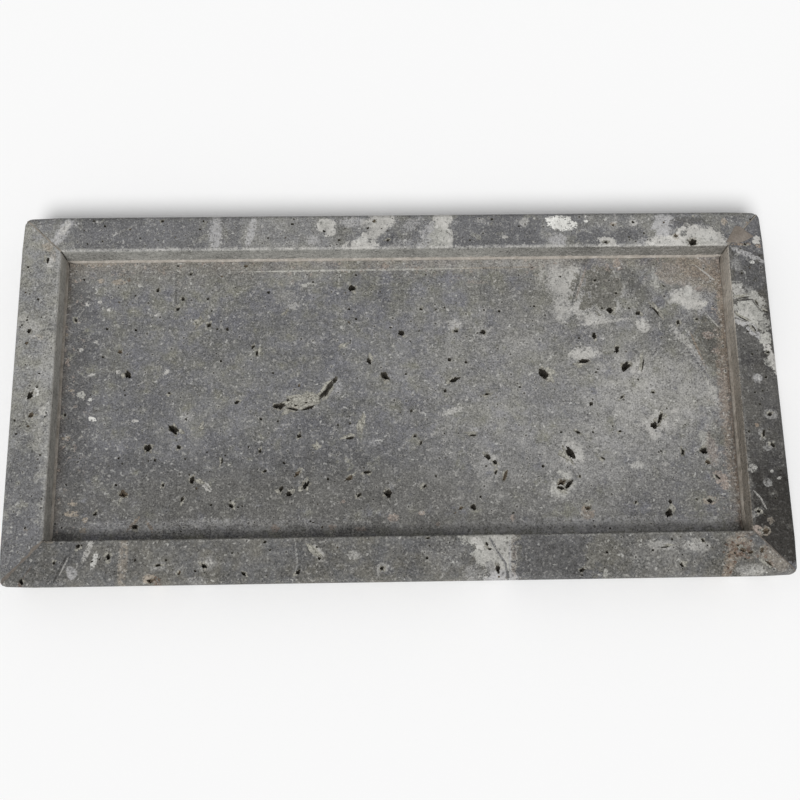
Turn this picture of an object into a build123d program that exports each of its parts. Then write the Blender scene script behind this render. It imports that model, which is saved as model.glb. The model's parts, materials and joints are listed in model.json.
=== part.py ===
"""Travertine tea tray: a floor slab framed by four mitred rim strips, on four small feet.

Lengths are in millimetres. +Z is up, +X is the tray's right-hand end and +Y its back.
The origin is under the middle of the tray, on the surface that the feet stand on.
"""

import os
from math import copysign

from build123d import *

# The framed stone, over all
tray_length = 400.0
tray_width = 198.7
outer_corner_radius = 4.0

# Rim strips: each was ground by hand, so their widths differ, and the right one tapers to the back
strip_height = 23.5
front_strip_width = 23.0
left_strip_width = 21.6
back_strip_width = 20.6
right_strip_back_width = 19.9
right_strip_front_width = 21.6
outer_edge_radius = 2.8
inner_edge_radius = 1.2
base_edge_radius = 0.8

# The outer faces are plumb for a band under the rounded edge, then lean in towards the table
plumb_band = 4.0
face_lean = 2.5

# Floor slab, let in between the strips and flush with their undersides
slab_thickness = 10.0

# Resin joints: a sheet in each mitre, and a seam round the slab that slopes up to the walls
mitre_joint = 0.5
floor_joint = 1.0
seam_rise = 1.1

# Resin fill in the broken corner at the back right, which lies across the mitre
corner_fill_length = 14.0
corner_fill_width = 10.0
corner_fill_depth = 2.0
corner_fill_end_gap = 4.7
corner_fill_back_gap = 7.6
corner_fill_rounding = 1.0
corner_fill_outline_shares = ((0.08, 0.04), (0.9, 0.08), (1.0, 0.5), (0.78, 0.95), (0.35, 1.0))

# Feet: soft pads stuck under the slab near its corners
foot_diameter = 14.0
foot_thickness = 1.5
foot_edge_radius = 0.4
foot_inset = 5.0

# How far a cutting shape runs past what it cuts
overrun = 4.0

# Levels
stone_bottom = foot_thickness
rim_top = stone_bottom + strip_height
band_bottom = rim_top - plumb_band
seam_top = slab_thickness + seam_rise

# Corners in plan, anticlockwise, and the side that starts at each of them
corner_names = ("front_left", "front_right", "back_right", "back_left")
side_names = ("front", "right", "back", "left")
right_end = tray_length / 2
back_edge = tray_width / 2
outer_corners = (
    Vector(-right_end, -back_edge),
    Vector(right_end, -back_edge),
    Vector(right_end, back_edge),
    Vector(-right_end, back_edge),
)
wall_corners = (
    outer_corners[0] + Vector(left_strip_width, front_strip_width),
    outer_corners[1] + Vector(-right_strip_front_width, front_strip_width),
    outer_corners[2] + Vector(-right_strip_back_width, -back_strip_width),
    outer_corners[3] + Vector(left_strip_width, -back_strip_width),
)


def past(start, end):
    """Return the point one overrun past end, on the line from start."""
    return end + (end - start).normalized() * overrun


def plan_prism(*outline):
    """Return a solid over a plan outline, from the ground to one overrun past the rim's top."""
    with BuildPart() as prism:
        with BuildSketch():
            with BuildLine():
                Polyline(*outline, close=True)
            make_face()
        extrude(amount=rim_top + overrun)
    return prism.part


def corner_wedge(outside, inside, start, end):
    """Return the prism of one side, cut off at its two corners along the lines from outside to inside."""
    return plan_prism(
        past(inside[start], outside[start]),
        past(inside[end], outside[end]),
        past(outside[end], inside[end]),
        past(outside[start], inside[start]),
    )


def hand_over(piece, name):
    """Label a finished piece and write its file."""
    piece.label = name
    export_step(piece, f"parts/{name}.step")


os.makedirs("parts", exist_ok=True)

# The slab's outline lies a joint's width inside the walls
with BuildSketch() as slab_outline:
    with BuildLine():
        Polyline(*wall_corners, close=True)
    make_face()
    offset(amount=-floor_joint, kind=Kind.INTERSECTION)
slab_corners = [
    min((Vector(*vertex) for vertex in slab_outline.vertices()), key=lambda spot: (spot - corner).length)
    for corner in wall_corners
]

with BuildPart() as floor_slab:
    with BuildSketch(Plane.XY.offset(stone_bottom)):
        add(slab_outline.sketch)
    extrude(amount=slab_thickness)
hand_over(floor_slab.part, "floor_slab")

# The whole rim in one, with its corners and edges rounded, from which its pieces are cut
with BuildPart() as rim_blank:
    with BuildSketch(Plane.XY.offset(stone_bottom)):
        RectangleRounded(tray_length - 2 * face_lean, tray_width - 2 * face_lean, outer_corner_radius)
    with BuildSketch(Plane.XY.offset(band_bottom)) as band_outline:
        RectangleRounded(tray_length, tray_width, outer_corner_radius)
    loft(ruled=True)
    extrude(band_outline.sketch, amount=plumb_band)
    with BuildSketch(Plane.XY.offset(stone_bottom)):
        with BuildLine():
            Polyline(*wall_corners, close=True)
        make_face()
    extrude(amount=strip_height, mode=Mode.SUBTRACT)
    rim_face = rim_blank.faces().sort_by(Axis.Z)[-1]
    fillet(rim_face.outer_wire().edges(), outer_edge_radius)
    rim_face = rim_blank.faces().sort_by(Axis.Z)[-1]
    fillet(rim_face.inner_wires()[0].edges(), inner_edge_radius)
    base_face = rim_blank.faces().sort_by(Axis.Z)[0]
    fillet(base_face.outer_wire().edges(), base_edge_radius)

# The corner fill, cut from the rim so that its top is flush with the stone round it
fill_end = right_end - corner_fill_end_gap
fill_back = back_edge - corner_fill_back_gap
fill_outline = [
    (fill_end - corner_fill_length * (1 - across), fill_back - corner_fill_width * (1 - along))
    for across, along in corner_fill_outline_shares
]
with BuildPart() as fill_pocket:
    with BuildSketch(Plane.XY.offset(rim_top - corner_fill_depth)) as fill_sketch:
        with BuildLine():
            Polyline(*fill_outline, close=True)
        make_face()
        fillet(fill_sketch.vertices(), corner_fill_rounding)
    extrude(amount=corner_fill_depth + overrun)

with BuildPart() as corner_fill:
    add(rim_blank.part)
    add(fill_pocket.part, mode=Mode.INTERSECT)
hand_over(corner_fill.part, "back_right_corner_fill")

# Mitre joints: a thin sheet on the line from each outer corner to the wall's corner
mitre_sheets = []
for name, outer, wall in zip(corner_names, outer_corners, wall_corners):
    run = outer - wall
    with BuildPart() as sheet:
        with BuildSketch(Plane(origin=(outer + wall) / 2, x_dir=run, z_dir=(0, 0, 1))):
            Rectangle(run.length + 2 * overrun, mitre_joint)
        extrude(amount=rim_top + overrun)
    mitre_sheets.append(sheet.part)
    with BuildPart() as mitre_resin:
        add(rim_blank.part)
        add(sheet.part, mode=Mode.INTERSECT)
        add(fill_pocket.part, mode=Mode.SUBTRACT)
    hand_over(mitre_resin.part, f"{name}_mitre_resin")

for start, side in enumerate(side_names):
    end = (start + 1) % len(side_names)

    # Rim strip, from mitre to mitre
    strip_wedge = corner_wedge(outer_corners, wall_corners, start, end)
    with BuildPart() as rim_strip:
        add(rim_blank.part)
        add(strip_wedge, mode=Mode.INTERSECT)
        add(mitre_sheets[start], mode=Mode.SUBTRACT)
        add(mitre_sheets[end], mode=Mode.SUBTRACT)
        add(fill_pocket.part, mode=Mode.SUBTRACT)
    hand_over(rim_strip.part, f"{side}_rim_strip")

    # Seam of resin between the strip's wall and the slab's edge
    seam_wedge = corner_wedge(wall_corners, slab_corners, start, end)
    along = (wall_corners[end] - wall_corners[start]).normalized()
    inwards = Vector(0, 0, 1).cross(along)
    seam_start = wall_corners[start] + Vector(0, 0, stone_bottom)
    with BuildPart() as floor_seam:
        with BuildSketch(Plane(origin=seam_start, x_dir=inwards, z_dir=along)):
            with BuildLine():
                Polyline((0, 0), (floor_joint, 0), (floor_joint, slab_thickness), (0, seam_top), close=True)
            make_face()
        extrude(amount=(wall_corners[end] - wall_corners[start]).length)
        add(seam_wedge, mode=Mode.INTERSECT)
    hand_over(floor_seam.part, f"{side}_floor_seam")

for name, corner in zip(corner_names, slab_corners):
    from_corner = foot_inset + foot_diameter / 2
    foot_middle = corner - Vector(copysign(from_corner, corner.X), copysign(from_corner, corner.Y))
    with BuildPart() as foot:
        with BuildSketch(Plane(origin=foot_middle)):
            Circle(foot_diameter / 2)
        extrude(amount=foot_thickness)
        fillet(foot.faces().sort_by(Axis.Z)[0].edges(), foot_edge_radius)
    hand_over(foot.part, f"{name}_foot")
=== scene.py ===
"""The looks of a travertine tea tray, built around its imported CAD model.

The tray is a floor slab let in between four mitred rim strips, with tan resin in every joint.
Sizes are in millimetres until a piece is finished, when its mesh is scaled to metres.
What lies at a place of its own on the stone is given in pixels of the reference view,
and the camera of that view turns them into places on the tray.
"""

from __future__ import annotations

import json
import logging
import random
from collections.abc import Callable
from dataclasses import dataclass, field
from enum import Enum
from math import copysign, cos, pi, radians, sin

import bmesh
import bpy
from mathutils import Euler, Matrix, Vector, noise

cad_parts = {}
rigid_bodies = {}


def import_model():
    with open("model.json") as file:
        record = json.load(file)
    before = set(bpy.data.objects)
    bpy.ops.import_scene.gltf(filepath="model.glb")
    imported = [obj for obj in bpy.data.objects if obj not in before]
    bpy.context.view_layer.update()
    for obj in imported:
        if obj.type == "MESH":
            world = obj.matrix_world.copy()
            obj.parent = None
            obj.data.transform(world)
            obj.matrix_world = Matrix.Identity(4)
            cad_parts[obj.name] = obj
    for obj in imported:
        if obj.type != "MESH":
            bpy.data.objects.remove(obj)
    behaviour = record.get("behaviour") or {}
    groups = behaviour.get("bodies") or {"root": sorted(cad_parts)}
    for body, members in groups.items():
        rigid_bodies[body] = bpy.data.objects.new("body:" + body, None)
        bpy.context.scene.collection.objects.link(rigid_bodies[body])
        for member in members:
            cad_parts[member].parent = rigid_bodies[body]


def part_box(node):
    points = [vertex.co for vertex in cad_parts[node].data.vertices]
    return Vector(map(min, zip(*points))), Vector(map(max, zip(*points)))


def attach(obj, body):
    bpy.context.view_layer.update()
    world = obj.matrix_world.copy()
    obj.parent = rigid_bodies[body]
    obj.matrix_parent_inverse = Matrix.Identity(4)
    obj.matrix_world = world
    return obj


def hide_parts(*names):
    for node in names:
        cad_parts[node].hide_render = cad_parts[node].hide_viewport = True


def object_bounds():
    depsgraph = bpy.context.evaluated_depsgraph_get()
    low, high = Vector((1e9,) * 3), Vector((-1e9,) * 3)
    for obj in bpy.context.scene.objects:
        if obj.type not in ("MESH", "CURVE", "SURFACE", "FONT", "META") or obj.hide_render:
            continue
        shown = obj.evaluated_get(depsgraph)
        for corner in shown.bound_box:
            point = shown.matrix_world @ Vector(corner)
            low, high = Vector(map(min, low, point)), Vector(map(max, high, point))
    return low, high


for leftover in list(bpy.data.objects):
    bpy.data.objects.remove(leftover)
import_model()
cad_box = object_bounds()
log = logging.getLogger("tea_tray")

Mesh = bmesh.types.BMesh
Thing = bpy.types.Object
Material = bpy.types.Material
Socket = bpy.types.NodeSocket
# What a node's input takes
Value = float | tuple[float, ...] | Socket

METRES = 0.001
X, Y, UP = Vector((1.0, 0.0, 0.0)), Vector((0.0, 1.0, 0.0)), Vector((0.0, 0.0, 1.0))
# How near to each other two places count as one
NEAR = 1e-3
# Sockets of a Mix node that is set to colours, by number, because they share their names
MIX_A, MIX_B, MIX_RESULT = 6, 7, 2


def add_object(name: str, data: bpy.types.ID) -> Thing:
    """Return a new object, linked to the scene.

    Args:
        name: Its name.
        data: Its mesh, camera or lamp.

    Returns:
        The object.
    """
    thing = bpy.data.objects.new(name, data)
    bpy.context.scene.collection.objects.link(thing)
    return thing


@dataclass(frozen=True)
class ReferenceView:
    """The camera of the reference view, fitted to the tray's edges.

    Attributes:
        width: Width and height of the picture, in pixels.
        sensor: Width of the camera's sensor.
        lens: Its focal length.
        place: Where it stands.
        turn: How it is turned from looking straight down, in radians.
    """

    width: float = 800.0
    sensor: float = 36.0
    lens: float = 53.064
    place: tuple[float, float, float] = (-12.67, -171.99, 612.99)
    turn: tuple[float, float, float] = (0.27568, -0.01825, -0.01805)

    @property
    def focal_pixels(self) -> float:
        """Return the focal length in pixels."""
        return self.lens / self.sensor * self.width

    def spot(self, x: float, y: float, level: float) -> Vector:
        """Find what a pixel shows.

        Args:
            x: Pixels from the picture's left.
            y: Pixels from its top.
            level: Height of the face that the pixel shows.

        Returns:
            The point of that level under the pixel.
        """
        middle = self.width / 2
        ray = Euler(self.turn).to_matrix() @ Vector((x - middle, middle - y, -self.focal_pixels))
        return Vector(self.place) + ray * ((level - self.place[2]) / ray.z)

    def pixel(self, level: float) -> float:
        """Return how wide one pixel is at a level."""
        return (self.place[2] - level) / self.focal_pixels

    def make_camera(self) -> None:
        """Put the camera into the scene."""
        data = bpy.data.cameras.new("reference_view")
        data.sensor_width = self.sensor
        data.lens = self.lens
        camera = add_object("reference_view", data)
        camera.location = Vector(self.place) * METRES
        camera.rotation_euler = self.turn
        bpy.context.scene.camera = camera


VIEW = ReferenceView()


class Side(Enum):
    """A side of the tray, anticlockwise from the front, as the direction from it towards the middle."""

    FRONT = (0.0, 1.0, 0.0)
    RIGHT = (-1.0, 0.0, 0.0)
    BACK = (0.0, -1.0, 0.0)
    LEFT = (1.0, 0.0, 0.0)

    @property
    def number(self) -> int:
        """Return the side's place in that round."""
        return tuple(Side).index(self)

    @property
    def word(self) -> str:
        """Return the side's name as the nodes spell it."""
        return self.name.lower()


def node_box(node: str) -> tuple[Vector, Vector]:
    """Return a CAD node's lowest and highest corners in millimetres."""
    low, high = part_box(node)
    return low / METRES, high / METRES


class Tray:
    """The tray's own sizes, read from the CAD frame, and the outline of its outer faces.

    Attributes:
        PLUMB_BAND: How far down from the top the outer faces are plumb.
        FACE_LEAN: How far they lean in below that, at their foot.
        CORNER_RADIUS: Radius of the outer corners in plan.
        EDGE_RADIUS: Radius of the rim's outer edge.
        BASE_RADIUS: Radius of the edge that it stands on.
        WORN_REACH: How far from an outer corner the stone is worn.
        MOST_WORN: How far the corner itself is worn back.
    """

    PLUMB_BAND = 4.0
    FACE_LEAN = 2.5
    CORNER_RADIUS = 4.0
    EDGE_RADIUS = 2.8
    BASE_RADIUS = 0.8
    WORN_REACH = 18.0
    MOST_WORN = 0.95

    def __init__(self) -> None:
        """Read the boxes of the stone nodes."""
        strips = {side: node_box(f"{side.word}_rim_strip") for side in Side}
        slab_low, slab_high = node_box("floor_slab")
        self.low, self.high = (corner / METRES for corner in cad_box)
        self.base, self.floor, self.rim = slab_low.z, slab_high.z, strips[Side.FRONT][1].z
        left, front, back = strips[Side.LEFT][1].x, strips[Side.FRONT][1].y, strips[Side.BACK][0].y
        front_right, back_right = strips[Side.RIGHT][0].x, node_box("right_floor_seam")[1].x
        self.joint = slab_low.x - left
        walls = ((left, front), (front_right, front), (back_right, back), (left, back))
        self.walls = [Vector((x, y, 0.0)) for x, y in walls]
        ends = ((self.low, self.low), (self.high, self.low), (self.high, self.high), (self.low, self.high))
        self.corners = [Vector((across.x, deep.y, 0.0)) for across, deep in ends]

    def wall(self, side: Side) -> tuple[Vector, Vector, Vector, Vector]:
        """Find the wall of a side.

        Args:
            side: The side.

        Returns:
            Its start and its end in plan, the direction between them, and the direction into the tray.
        """
        start, end = self.walls[side.number], self.walls[(side.number + 1) % len(self.walls)]
        along = (end - start).normalized()
        return start, end, along, UP.cross(along)

    def inset(self, level: float) -> float:
        """Return how far the outer faces have leaned in at a level."""
        band = self.rim - self.PLUMB_BAND
        return self.FACE_LEAN * max(0.0, (band - level) / (band - self.base))

    def rounded_block(self) -> Mesh:
        """Make the block that the rim is cut from.

        Returns:
            The block, with its outer corners and edges rounded.
        """
        block = box_block(Vector((*self.low.xy, self.base)), Vector((*self.high.xy, self.rim)))
        upright = [edge for edge in block.edges if abs(edge.verts[0].co.z - edge.verts[1].co.z) > 1.0]
        bevel(block, upright, self.CORNER_RADIUS, 6)
        bevel(block, edges_where(block, lambda spot: abs(spot.z - self.rim) < NEAR), self.EDGE_RADIUS, 5)
        saw(block, UP * (self.rim - self.PLUMB_BAND), UP)
        for vert in block.verts:
            inset = self.inset(vert.co.z)
            vert.co.x -= copysign(inset, vert.co.x)
            vert.co.y -= copysign(inset, vert.co.y)
        bevel(block, edges_where(block, lambda spot: abs(spot.z - self.base) < NEAR), self.BASE_RADIUS, 2)
        return block

    def wear_corners(self, block: Mesh) -> None:
        """Wear the tray's outer corners a little rounder than they were made.

        Args:
            block: A block of the rim, whose points are moved.
        """
        for vert in block.verts:
            for corner in self.corners:
                off = (vert.co - corner).to_2d().length
                if off < self.WORN_REACH:
                    worn = self.MOST_WORN * (1.0 - off / self.WORN_REACH) / 2 ** 0.5
                    vert.co.x -= copysign(worn, corner.x)
                    vert.co.y -= copysign(worn, corner.y)


TRAY = Tray()


class Tone(Enum):
    """Tones of the stone and its filler, as the reference view shows them."""

    WHITE = "#dcdbd6"
    PALE = "#bebcb7"
    LILAC = "#a8a7a7"
    CREAM = "#aeada7"
    ASH = "#8a8987"
    SLATE = "#656567"
    DARK = "#575654"
    BLACK = "#33312e"
    VIOLET = "#6a6a6c"
    OLIVE = "#6f6d66"
    TAN = "#958c80"
    ORANGE = "#897b6d"
    BROWN = "#5f5044"
    RUST = "#5e4637"
    PINK = "#938880"


class Lining(Enum):
    """What the inside of a pit looks like, from dark grime and painted shade over filler to bare crystal.
    """

    DIRTY = 0.0
    FILLED = 0.5
    CRYSTAL = 1.0


@dataclass(frozen=True)
class Patch:
    """A patch of another tone, an ellipse whose outline the stone's grain breaks up.

    Attributes:
        x: Its middle in the reference view, in pixels from the left.
        y: Its middle in pixels from the top.
        long: Its length in pixels.
        wide: Its width in pixels.
        turn: The angle of its length from the picture's right, in degrees.
        tone: Its tone.
        strength: How far it covers what lies under it.
        softness: The share of its radius over which it fades.
    """

    x: float
    y: float
    long: float
    wide: float
    turn: float
    tone: Tone
    strength: float = 0.8
    softness: float = 0.5


@dataclass(frozen=True)
class Pit:
    """An open pit in the stone.

    Attributes:
        mouth: The middle of its mouth.
        outward: The direction that its mouth faces.
        along: The direction of its length.
        long: Its length.
        wide: Its width.
        deep: Its depth.
        lining: What its inside looks like.
        ragged: How far its outline departs from an ellipse, as a share.
        fineness: How many times its round is subdivided.
    """

    mouth: Vector
    outward: Vector
    along: Vector
    long: float
    wide: float
    deep: float
    lining: Lining
    ragged: float = 0.5
    fineness: int = 2


@dataclass(frozen=True)
class SeenPits:
    """Pits read off the reference view, whose depth follows from their width.

    Attributes:
        level: Height of the face that they open on.
        depth_share: The share of a pit's width that is its depth.
        deepest: The greatest depth.
        crystal_share: The share of it that crystals leave open.
        large: The length in pixels from which a pit is cut finer.
        crumbled: The length in pixels from which a shallow dish has crumbled round a pit.
        dish_wider: How many pixels wider the dish is, at the least.
        dish_widest: How many times as wide it is besides, at the most.
        dish_aside: How far aside it lies at the most, as a share of the pit's length.
        dish_deep: Its least depth.
        dish_deeper: How much deeper it is for each pixel of the pit's length.
        dish_ragged: How ragged the dish is.
    """

    level: float
    depth_share: float = 0.9
    deepest: float = 3.0
    crystal_share: float = 0.45
    large: float = 6.5
    crumbled: float = 3.4
    dish_wider: float = 1.5
    dish_widest: float = 1.5
    dish_aside: float = 0.3
    dish_deep: float = 0.2
    dish_deeper: float = 0.02
    dish_ragged: float = 0.95

    def pit(self, row: tuple, deep: float, lining: Lining, aside: Vector = Vector(), **shape) -> Pit:
        """Turn one place into a pit of the stone.

        Args:
            row: Its middle, length and width in pixels, and the angle of its length in degrees.
            deep: Its depth.
            lining: What its inside looks like.
            aside: How far it lies beside that middle.
            **shape: Its raggedness and fineness, where they aren't the usual ones.

        Returns:
            The pit.
        """
        x, y, long, wide, turn = row
        size = VIEW.pixel(self.level)
        along = Vector((cos(radians(turn)), sin(radians(turn)), 0.0))
        return Pit(VIEW.spot(x, y, self.level) + aside, UP, along, long * size, wide * size, deep, lining,
                   **shape)

    def read(self, rows: tuple, draw: random.Random) -> list[Pit]:
        """Turn a table into pits of the stone.

        Args:
            rows: What pit() takes for each, and its lining where that isn't the dark one.
            draw: The source of every random choice.

        Returns:
            The pits, and the dishes round the larger ones.
        """
        pits = []
        size = VIEW.pixel(self.level)
        for x, y, long, wide, turn, *rest in rows:
            lining = rest[0] if rest else Lining.DIRTY
            share = self.crystal_share if lining is Lining.CRYSTAL else 1.0
            deep = min(self.depth_share * wide * size, self.deepest) * share
            fineness = 4 if long > self.large else 3
            pits.append(self.pit((x, y, long, wide, turn), deep, lining, fineness=fineness))
            if long > self.crumbled:
                off = [draw.uniform(-self.dish_aside, self.dish_aside) * long for _ in range(2)]
                wider = draw.uniform(1.0, self.dish_widest)
                dish = (x, y, long * wider + self.dish_wider, wide * wider + self.dish_wider, turn)
                pits.append(self.pit(dish, self.dish_deep + self.dish_deeper * long, Lining.CRYSTAL,
                                     Vector((*off, 0.0)) * size, ragged=self.dish_ragged, fineness=3))
        return pits


@dataclass
class Cutter:
    """Gathers pits and other shapes to be cut out of a stone, in layers whose shapes don't overlap.

    Attributes:
        lining: The material of the cut faces.
        draw: The source of every random choice.
        layers: The layers so far.
        taken: The middle and reach of each shape in each layer.
        sink: How far under its mouth the middle of a pit lies, as a share of its depth.
        rise: The pit's reach down from there, as a share of its depth.
        flare: How much it widens towards its mouth.
        swings: How often a pit's outline swings, and how far.
        reach_share: The share of a pit's greatest size within which nothing else is cut.
    """

    lining: Material
    draw: random.Random
    layers: list[Mesh] = field(default_factory=list)
    taken: list[list[tuple[Vector, float]]] = field(default_factory=list)
    sink: float = 0.12
    rise: float = 0.88
    flare: float = 0.35
    swings: tuple[tuple[float, float], ...] = ((1.4, 1.0), (3.3, 0.65), (7.5, 0.35))
    reach_share: float = 0.75

    def layer_for(self, middle: Vector, reach: float) -> Mesh:
        """Find room for a shape.

        Args:
            middle: Its middle.
            reach: How far it reaches from there.

        Returns:
            The first layer where it overlaps nothing.
        """
        for layer, taken in zip(self.layers, self.taken):
            if all((middle - other).length > reach + far for other, far in taken):
                break
        else:
            layer, taken = bmesh.new(), []
            self.layers.append(layer)
            self.taken.append(taken)
        taken.append((middle, reach))
        return layer

    def add_shape(self, shape: Mesh, middle: Vector, reach: float) -> None:
        """Add a finished shape.

        Args:
            shape: The shape, which is freed.
            middle: Its middle.
            reach: How far it reaches from there.
        """
        copy = bpy.data.meshes.new("shape")
        shape.to_mesh(copy)
        shape.free()
        self.layer_for(middle, reach).from_mesh(copy)
        bpy.data.meshes.remove(copy)

    def add_pit(self, pit: Pit) -> None:
        """Add the rough round that a pit leaves.

        Args:
            pit: The pit to be cut.
        """
        ball = bmesh.new()
        lining = ball.verts.layers.float.new("lining")
        depth = ball.verts.layers.float.new("depth")
        bmesh.ops.create_icosphere(ball, subdivisions=pit.fineness, radius=1.0)
        seed = Vector(self.draw.uniform(-90, 90) for _ in range(3))
        turn = Matrix((pit.along, pit.outward.cross(pit.along), pit.outward)).transposed()
        for vert in ball.verts:
            rough = sum(noise.noise(vert.co * pitch + seed) * share for pitch, share in self.swings)
            local = vert.co * (1.0 + pit.ragged * rough)
            flare = 1.0 + self.flare * (vert.co.z - self.sink)
            local.x *= flare * pit.long / 2
            local.y *= flare * pit.wide / 2
            local.z = (local.z * self.rise - self.sink) * pit.deep
            vert[lining] = pit.lining.value
            vert[depth] = -local.z
            vert.co = turn @ local + pit.mouth
        self.add_shape(ball, pit.mouth, max(pit.long, pit.wide, pit.deep) * self.reach_share)

    def cut(self, block: Thing) -> None:
        """Cut every layer out of a stone.

        Args:
            block: The stone, whose mesh is replaced.
        """
        knives = []
        for layer in self.layers:
            mesh = bpy.data.meshes.new("knife")
            layer.to_mesh(mesh)
            layer.free()
            mesh.materials.append(self.lining)
            knives.append(add_object("knife", mesh))
            step = block.modifiers.new("cut", "BOOLEAN")
            step.operation = "DIFFERENCE"
            step.solver = "MANIFOLD"
            step.material_mode = "TRANSFER"
            step.object = knives[-1]
        graph = bpy.context.evaluated_depsgraph_get()
        cut_mesh = bpy.data.meshes.new_from_object(block.evaluated_get(graph), depsgraph=graph)
        block.modifiers.clear()
        old, block.data = block.data, cut_mesh
        for mesh in [old] + [knife.data for knife in knives]:
            bpy.data.meshes.remove(mesh)


def box_block(low: Vector, high: Vector) -> Mesh:
    """Make a block that fills a box.

    Args:
        low: The box's lowest corner.
        high: Its highest corner.

    Returns:
        The block.
    """
    block = bmesh.new()
    bmesh.ops.create_cube(block, size=1.0)
    bmesh.ops.scale(block, vec=high - low, verts=block.verts)
    bmesh.ops.translate(block, vec=(high + low) / 2, verts=block.verts)
    return block


def edges_where(block: Mesh, test: Callable[[Vector], bool]) -> list:
    """Return the edges of a block whose ends both pass a test."""
    return [edge for edge in block.edges if all(test(vert.co) for vert in edge.verts)]


def bevel(block: Mesh, edges: list, radius: float, segments: int) -> None:
    """Round some edges of a block."""
    bmesh.ops.bevel(block, geom=edges, offset=radius, offset_type="OFFSET", segments=segments,
                    profile=0.5, affect="EDGES", clamp_overlap=True, material=-1)


def saw(block: Mesh, place: Vector, outward: Vector, parts: list | None = None,
        clear: bool = False) -> dict:
    """Divide the faces of a block along a plane.

    Args:
        block: The block.
        place: A point of the plane.
        outward: The direction that it faces.
        parts: The parts of the block that are divided, or else all of it.
        clear: Whether what lies beyond the plane falls away.

    Returns:
        The parts, and those of them that lie in the plane.
    """
    return bmesh.ops.bisect_plane(block, geom=parts or block.verts[:] + block.edges[:] + block.faces[:],
                                  dist=1e-5, plane_co=place, plane_no=outward, clear_outer=clear)


def cut_off(block: Mesh, place: Vector, outward: Vector) -> None:
    """Saw off what lies beyond a plane and close the cut."""
    cut = saw(block, place, outward, clear=True)["geom_cut"]
    bmesh.ops.edgeloop_fill(block, edges=[item for item in cut if isinstance(item, bmesh.types.BMEdge)])


def score(block: Mesh, across: Vector, start: float, stop: float, step: float) -> None:
    """Divide the faces of a block along parallel planes, each working only on what lies beyond the last.

    Args:
        block: The block.
        across: The direction from one plane to the next.
        start: Where the block starts in that direction.
        stop: Where it stops.
        step: The distance between planes.
    """
    count = max(1, round((stop - start) / step))
    beyond = block.faces[:]
    for number in range(1, count):
        place = start + (stop - start) * number / count
        edges = {edge for face in beyond for edge in face.edges}
        verts = {vert for face in beyond for vert in face.verts}
        sawn = saw(block, across * place, across, beyond + list(edges) + list(verts))
        beyond = [
            item for item in sawn["geom"]
            if isinstance(item, bmesh.types.BMFace) and item.calc_center_median().dot(across) > place
        ]


def to_object(name: str, block: Mesh, materials: list[Material]) -> Thing:
    """Turn a bmesh into a linked object and free it.

    Args:
        name: Name of the object.
        block: Its mesh.
        materials: Its materials, in the order of their slots.

    Returns:
        The object, still in millimetres.
    """
    bmesh.ops.recalc_face_normals(block, faces=block.faces)
    for face in block.faces:
        face.smooth = True
    mesh = bpy.data.meshes.new(name)
    block.to_mesh(mesh)
    block.free()
    for material in materials:
        mesh.materials.append(material)
    return add_object(name, mesh)


def finish_piece(piece: Thing, slot: str, *nodes: str, crease: float) -> None:
    """Bring a piece to metres and tie it to the frame.

    Args:
        piece: The piece, in millimetres.
        slot: The record's material slot, which is not used.
        *nodes: The CAD nodes that it stands for.
        crease: The least angle between faces, in degrees, that shows as a sharp edge.
    """
    shape = bmesh.new()
    shape.from_mesh(piece.data)
    bmesh.ops.scale(shape, vec=(METRES,) * 3, verts=shape.verts)
    for edge in shape.edges:
        edge.smooth = edge.calc_face_angle(0.0) < radians(crease)
    shape.to_mesh(piece.data)
    triangles = sum(len(face.verts) - 2 for face in shape.faces)
    shape.free()
    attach(piece, "root")
    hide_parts(*nodes)
    log.info("%s: %d triangles, stands for %s", piece.name, triangles, ", ".join(nodes))


def linear(hex_colour: str) -> tuple[float, float, float, float]:
    """Turn an sRGB hex colour into linear values with an alpha of 1."""
    values = (int(hex_colour[start:start + 2], 16) / 255 for start in (1, 3, 5))
    parts = [value / 12.92 if value <= 0.04045 else ((value + 0.055) / 1.055) ** 2.4 for value in values]
    return (*parts, 1.0)


def add_node(tree: bpy.types.NodeTree, kind: str, inputs: dict | None = None, **settings) -> bpy.types.Node:
    """Add a node to a material or world.

    Args:
        tree: The node tree.
        kind: The node's type, without the words ShaderNode.
        inputs: What goes into its sockets, by name or number: a value, or another node's output.
        **settings: The node's own properties.

    Returns:
        The new node.
    """
    node = tree.nodes.new("ShaderNode" + kind)
    for name, value in settings.items():
        setattr(node, name, value)
    for name, value in (inputs or {}).items():
        if isinstance(value, Socket):
            tree.links.new(value, node.inputs[name])
        else:
            node.inputs[name].default_value = value
    return node


def empty_tree(owner: bpy.types.ID) -> bpy.types.NodeTree:
    """Return the node tree of a material or world, emptied."""
    owner.use_nodes = True
    owner.node_tree.nodes.clear()
    return owner.node_tree


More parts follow.
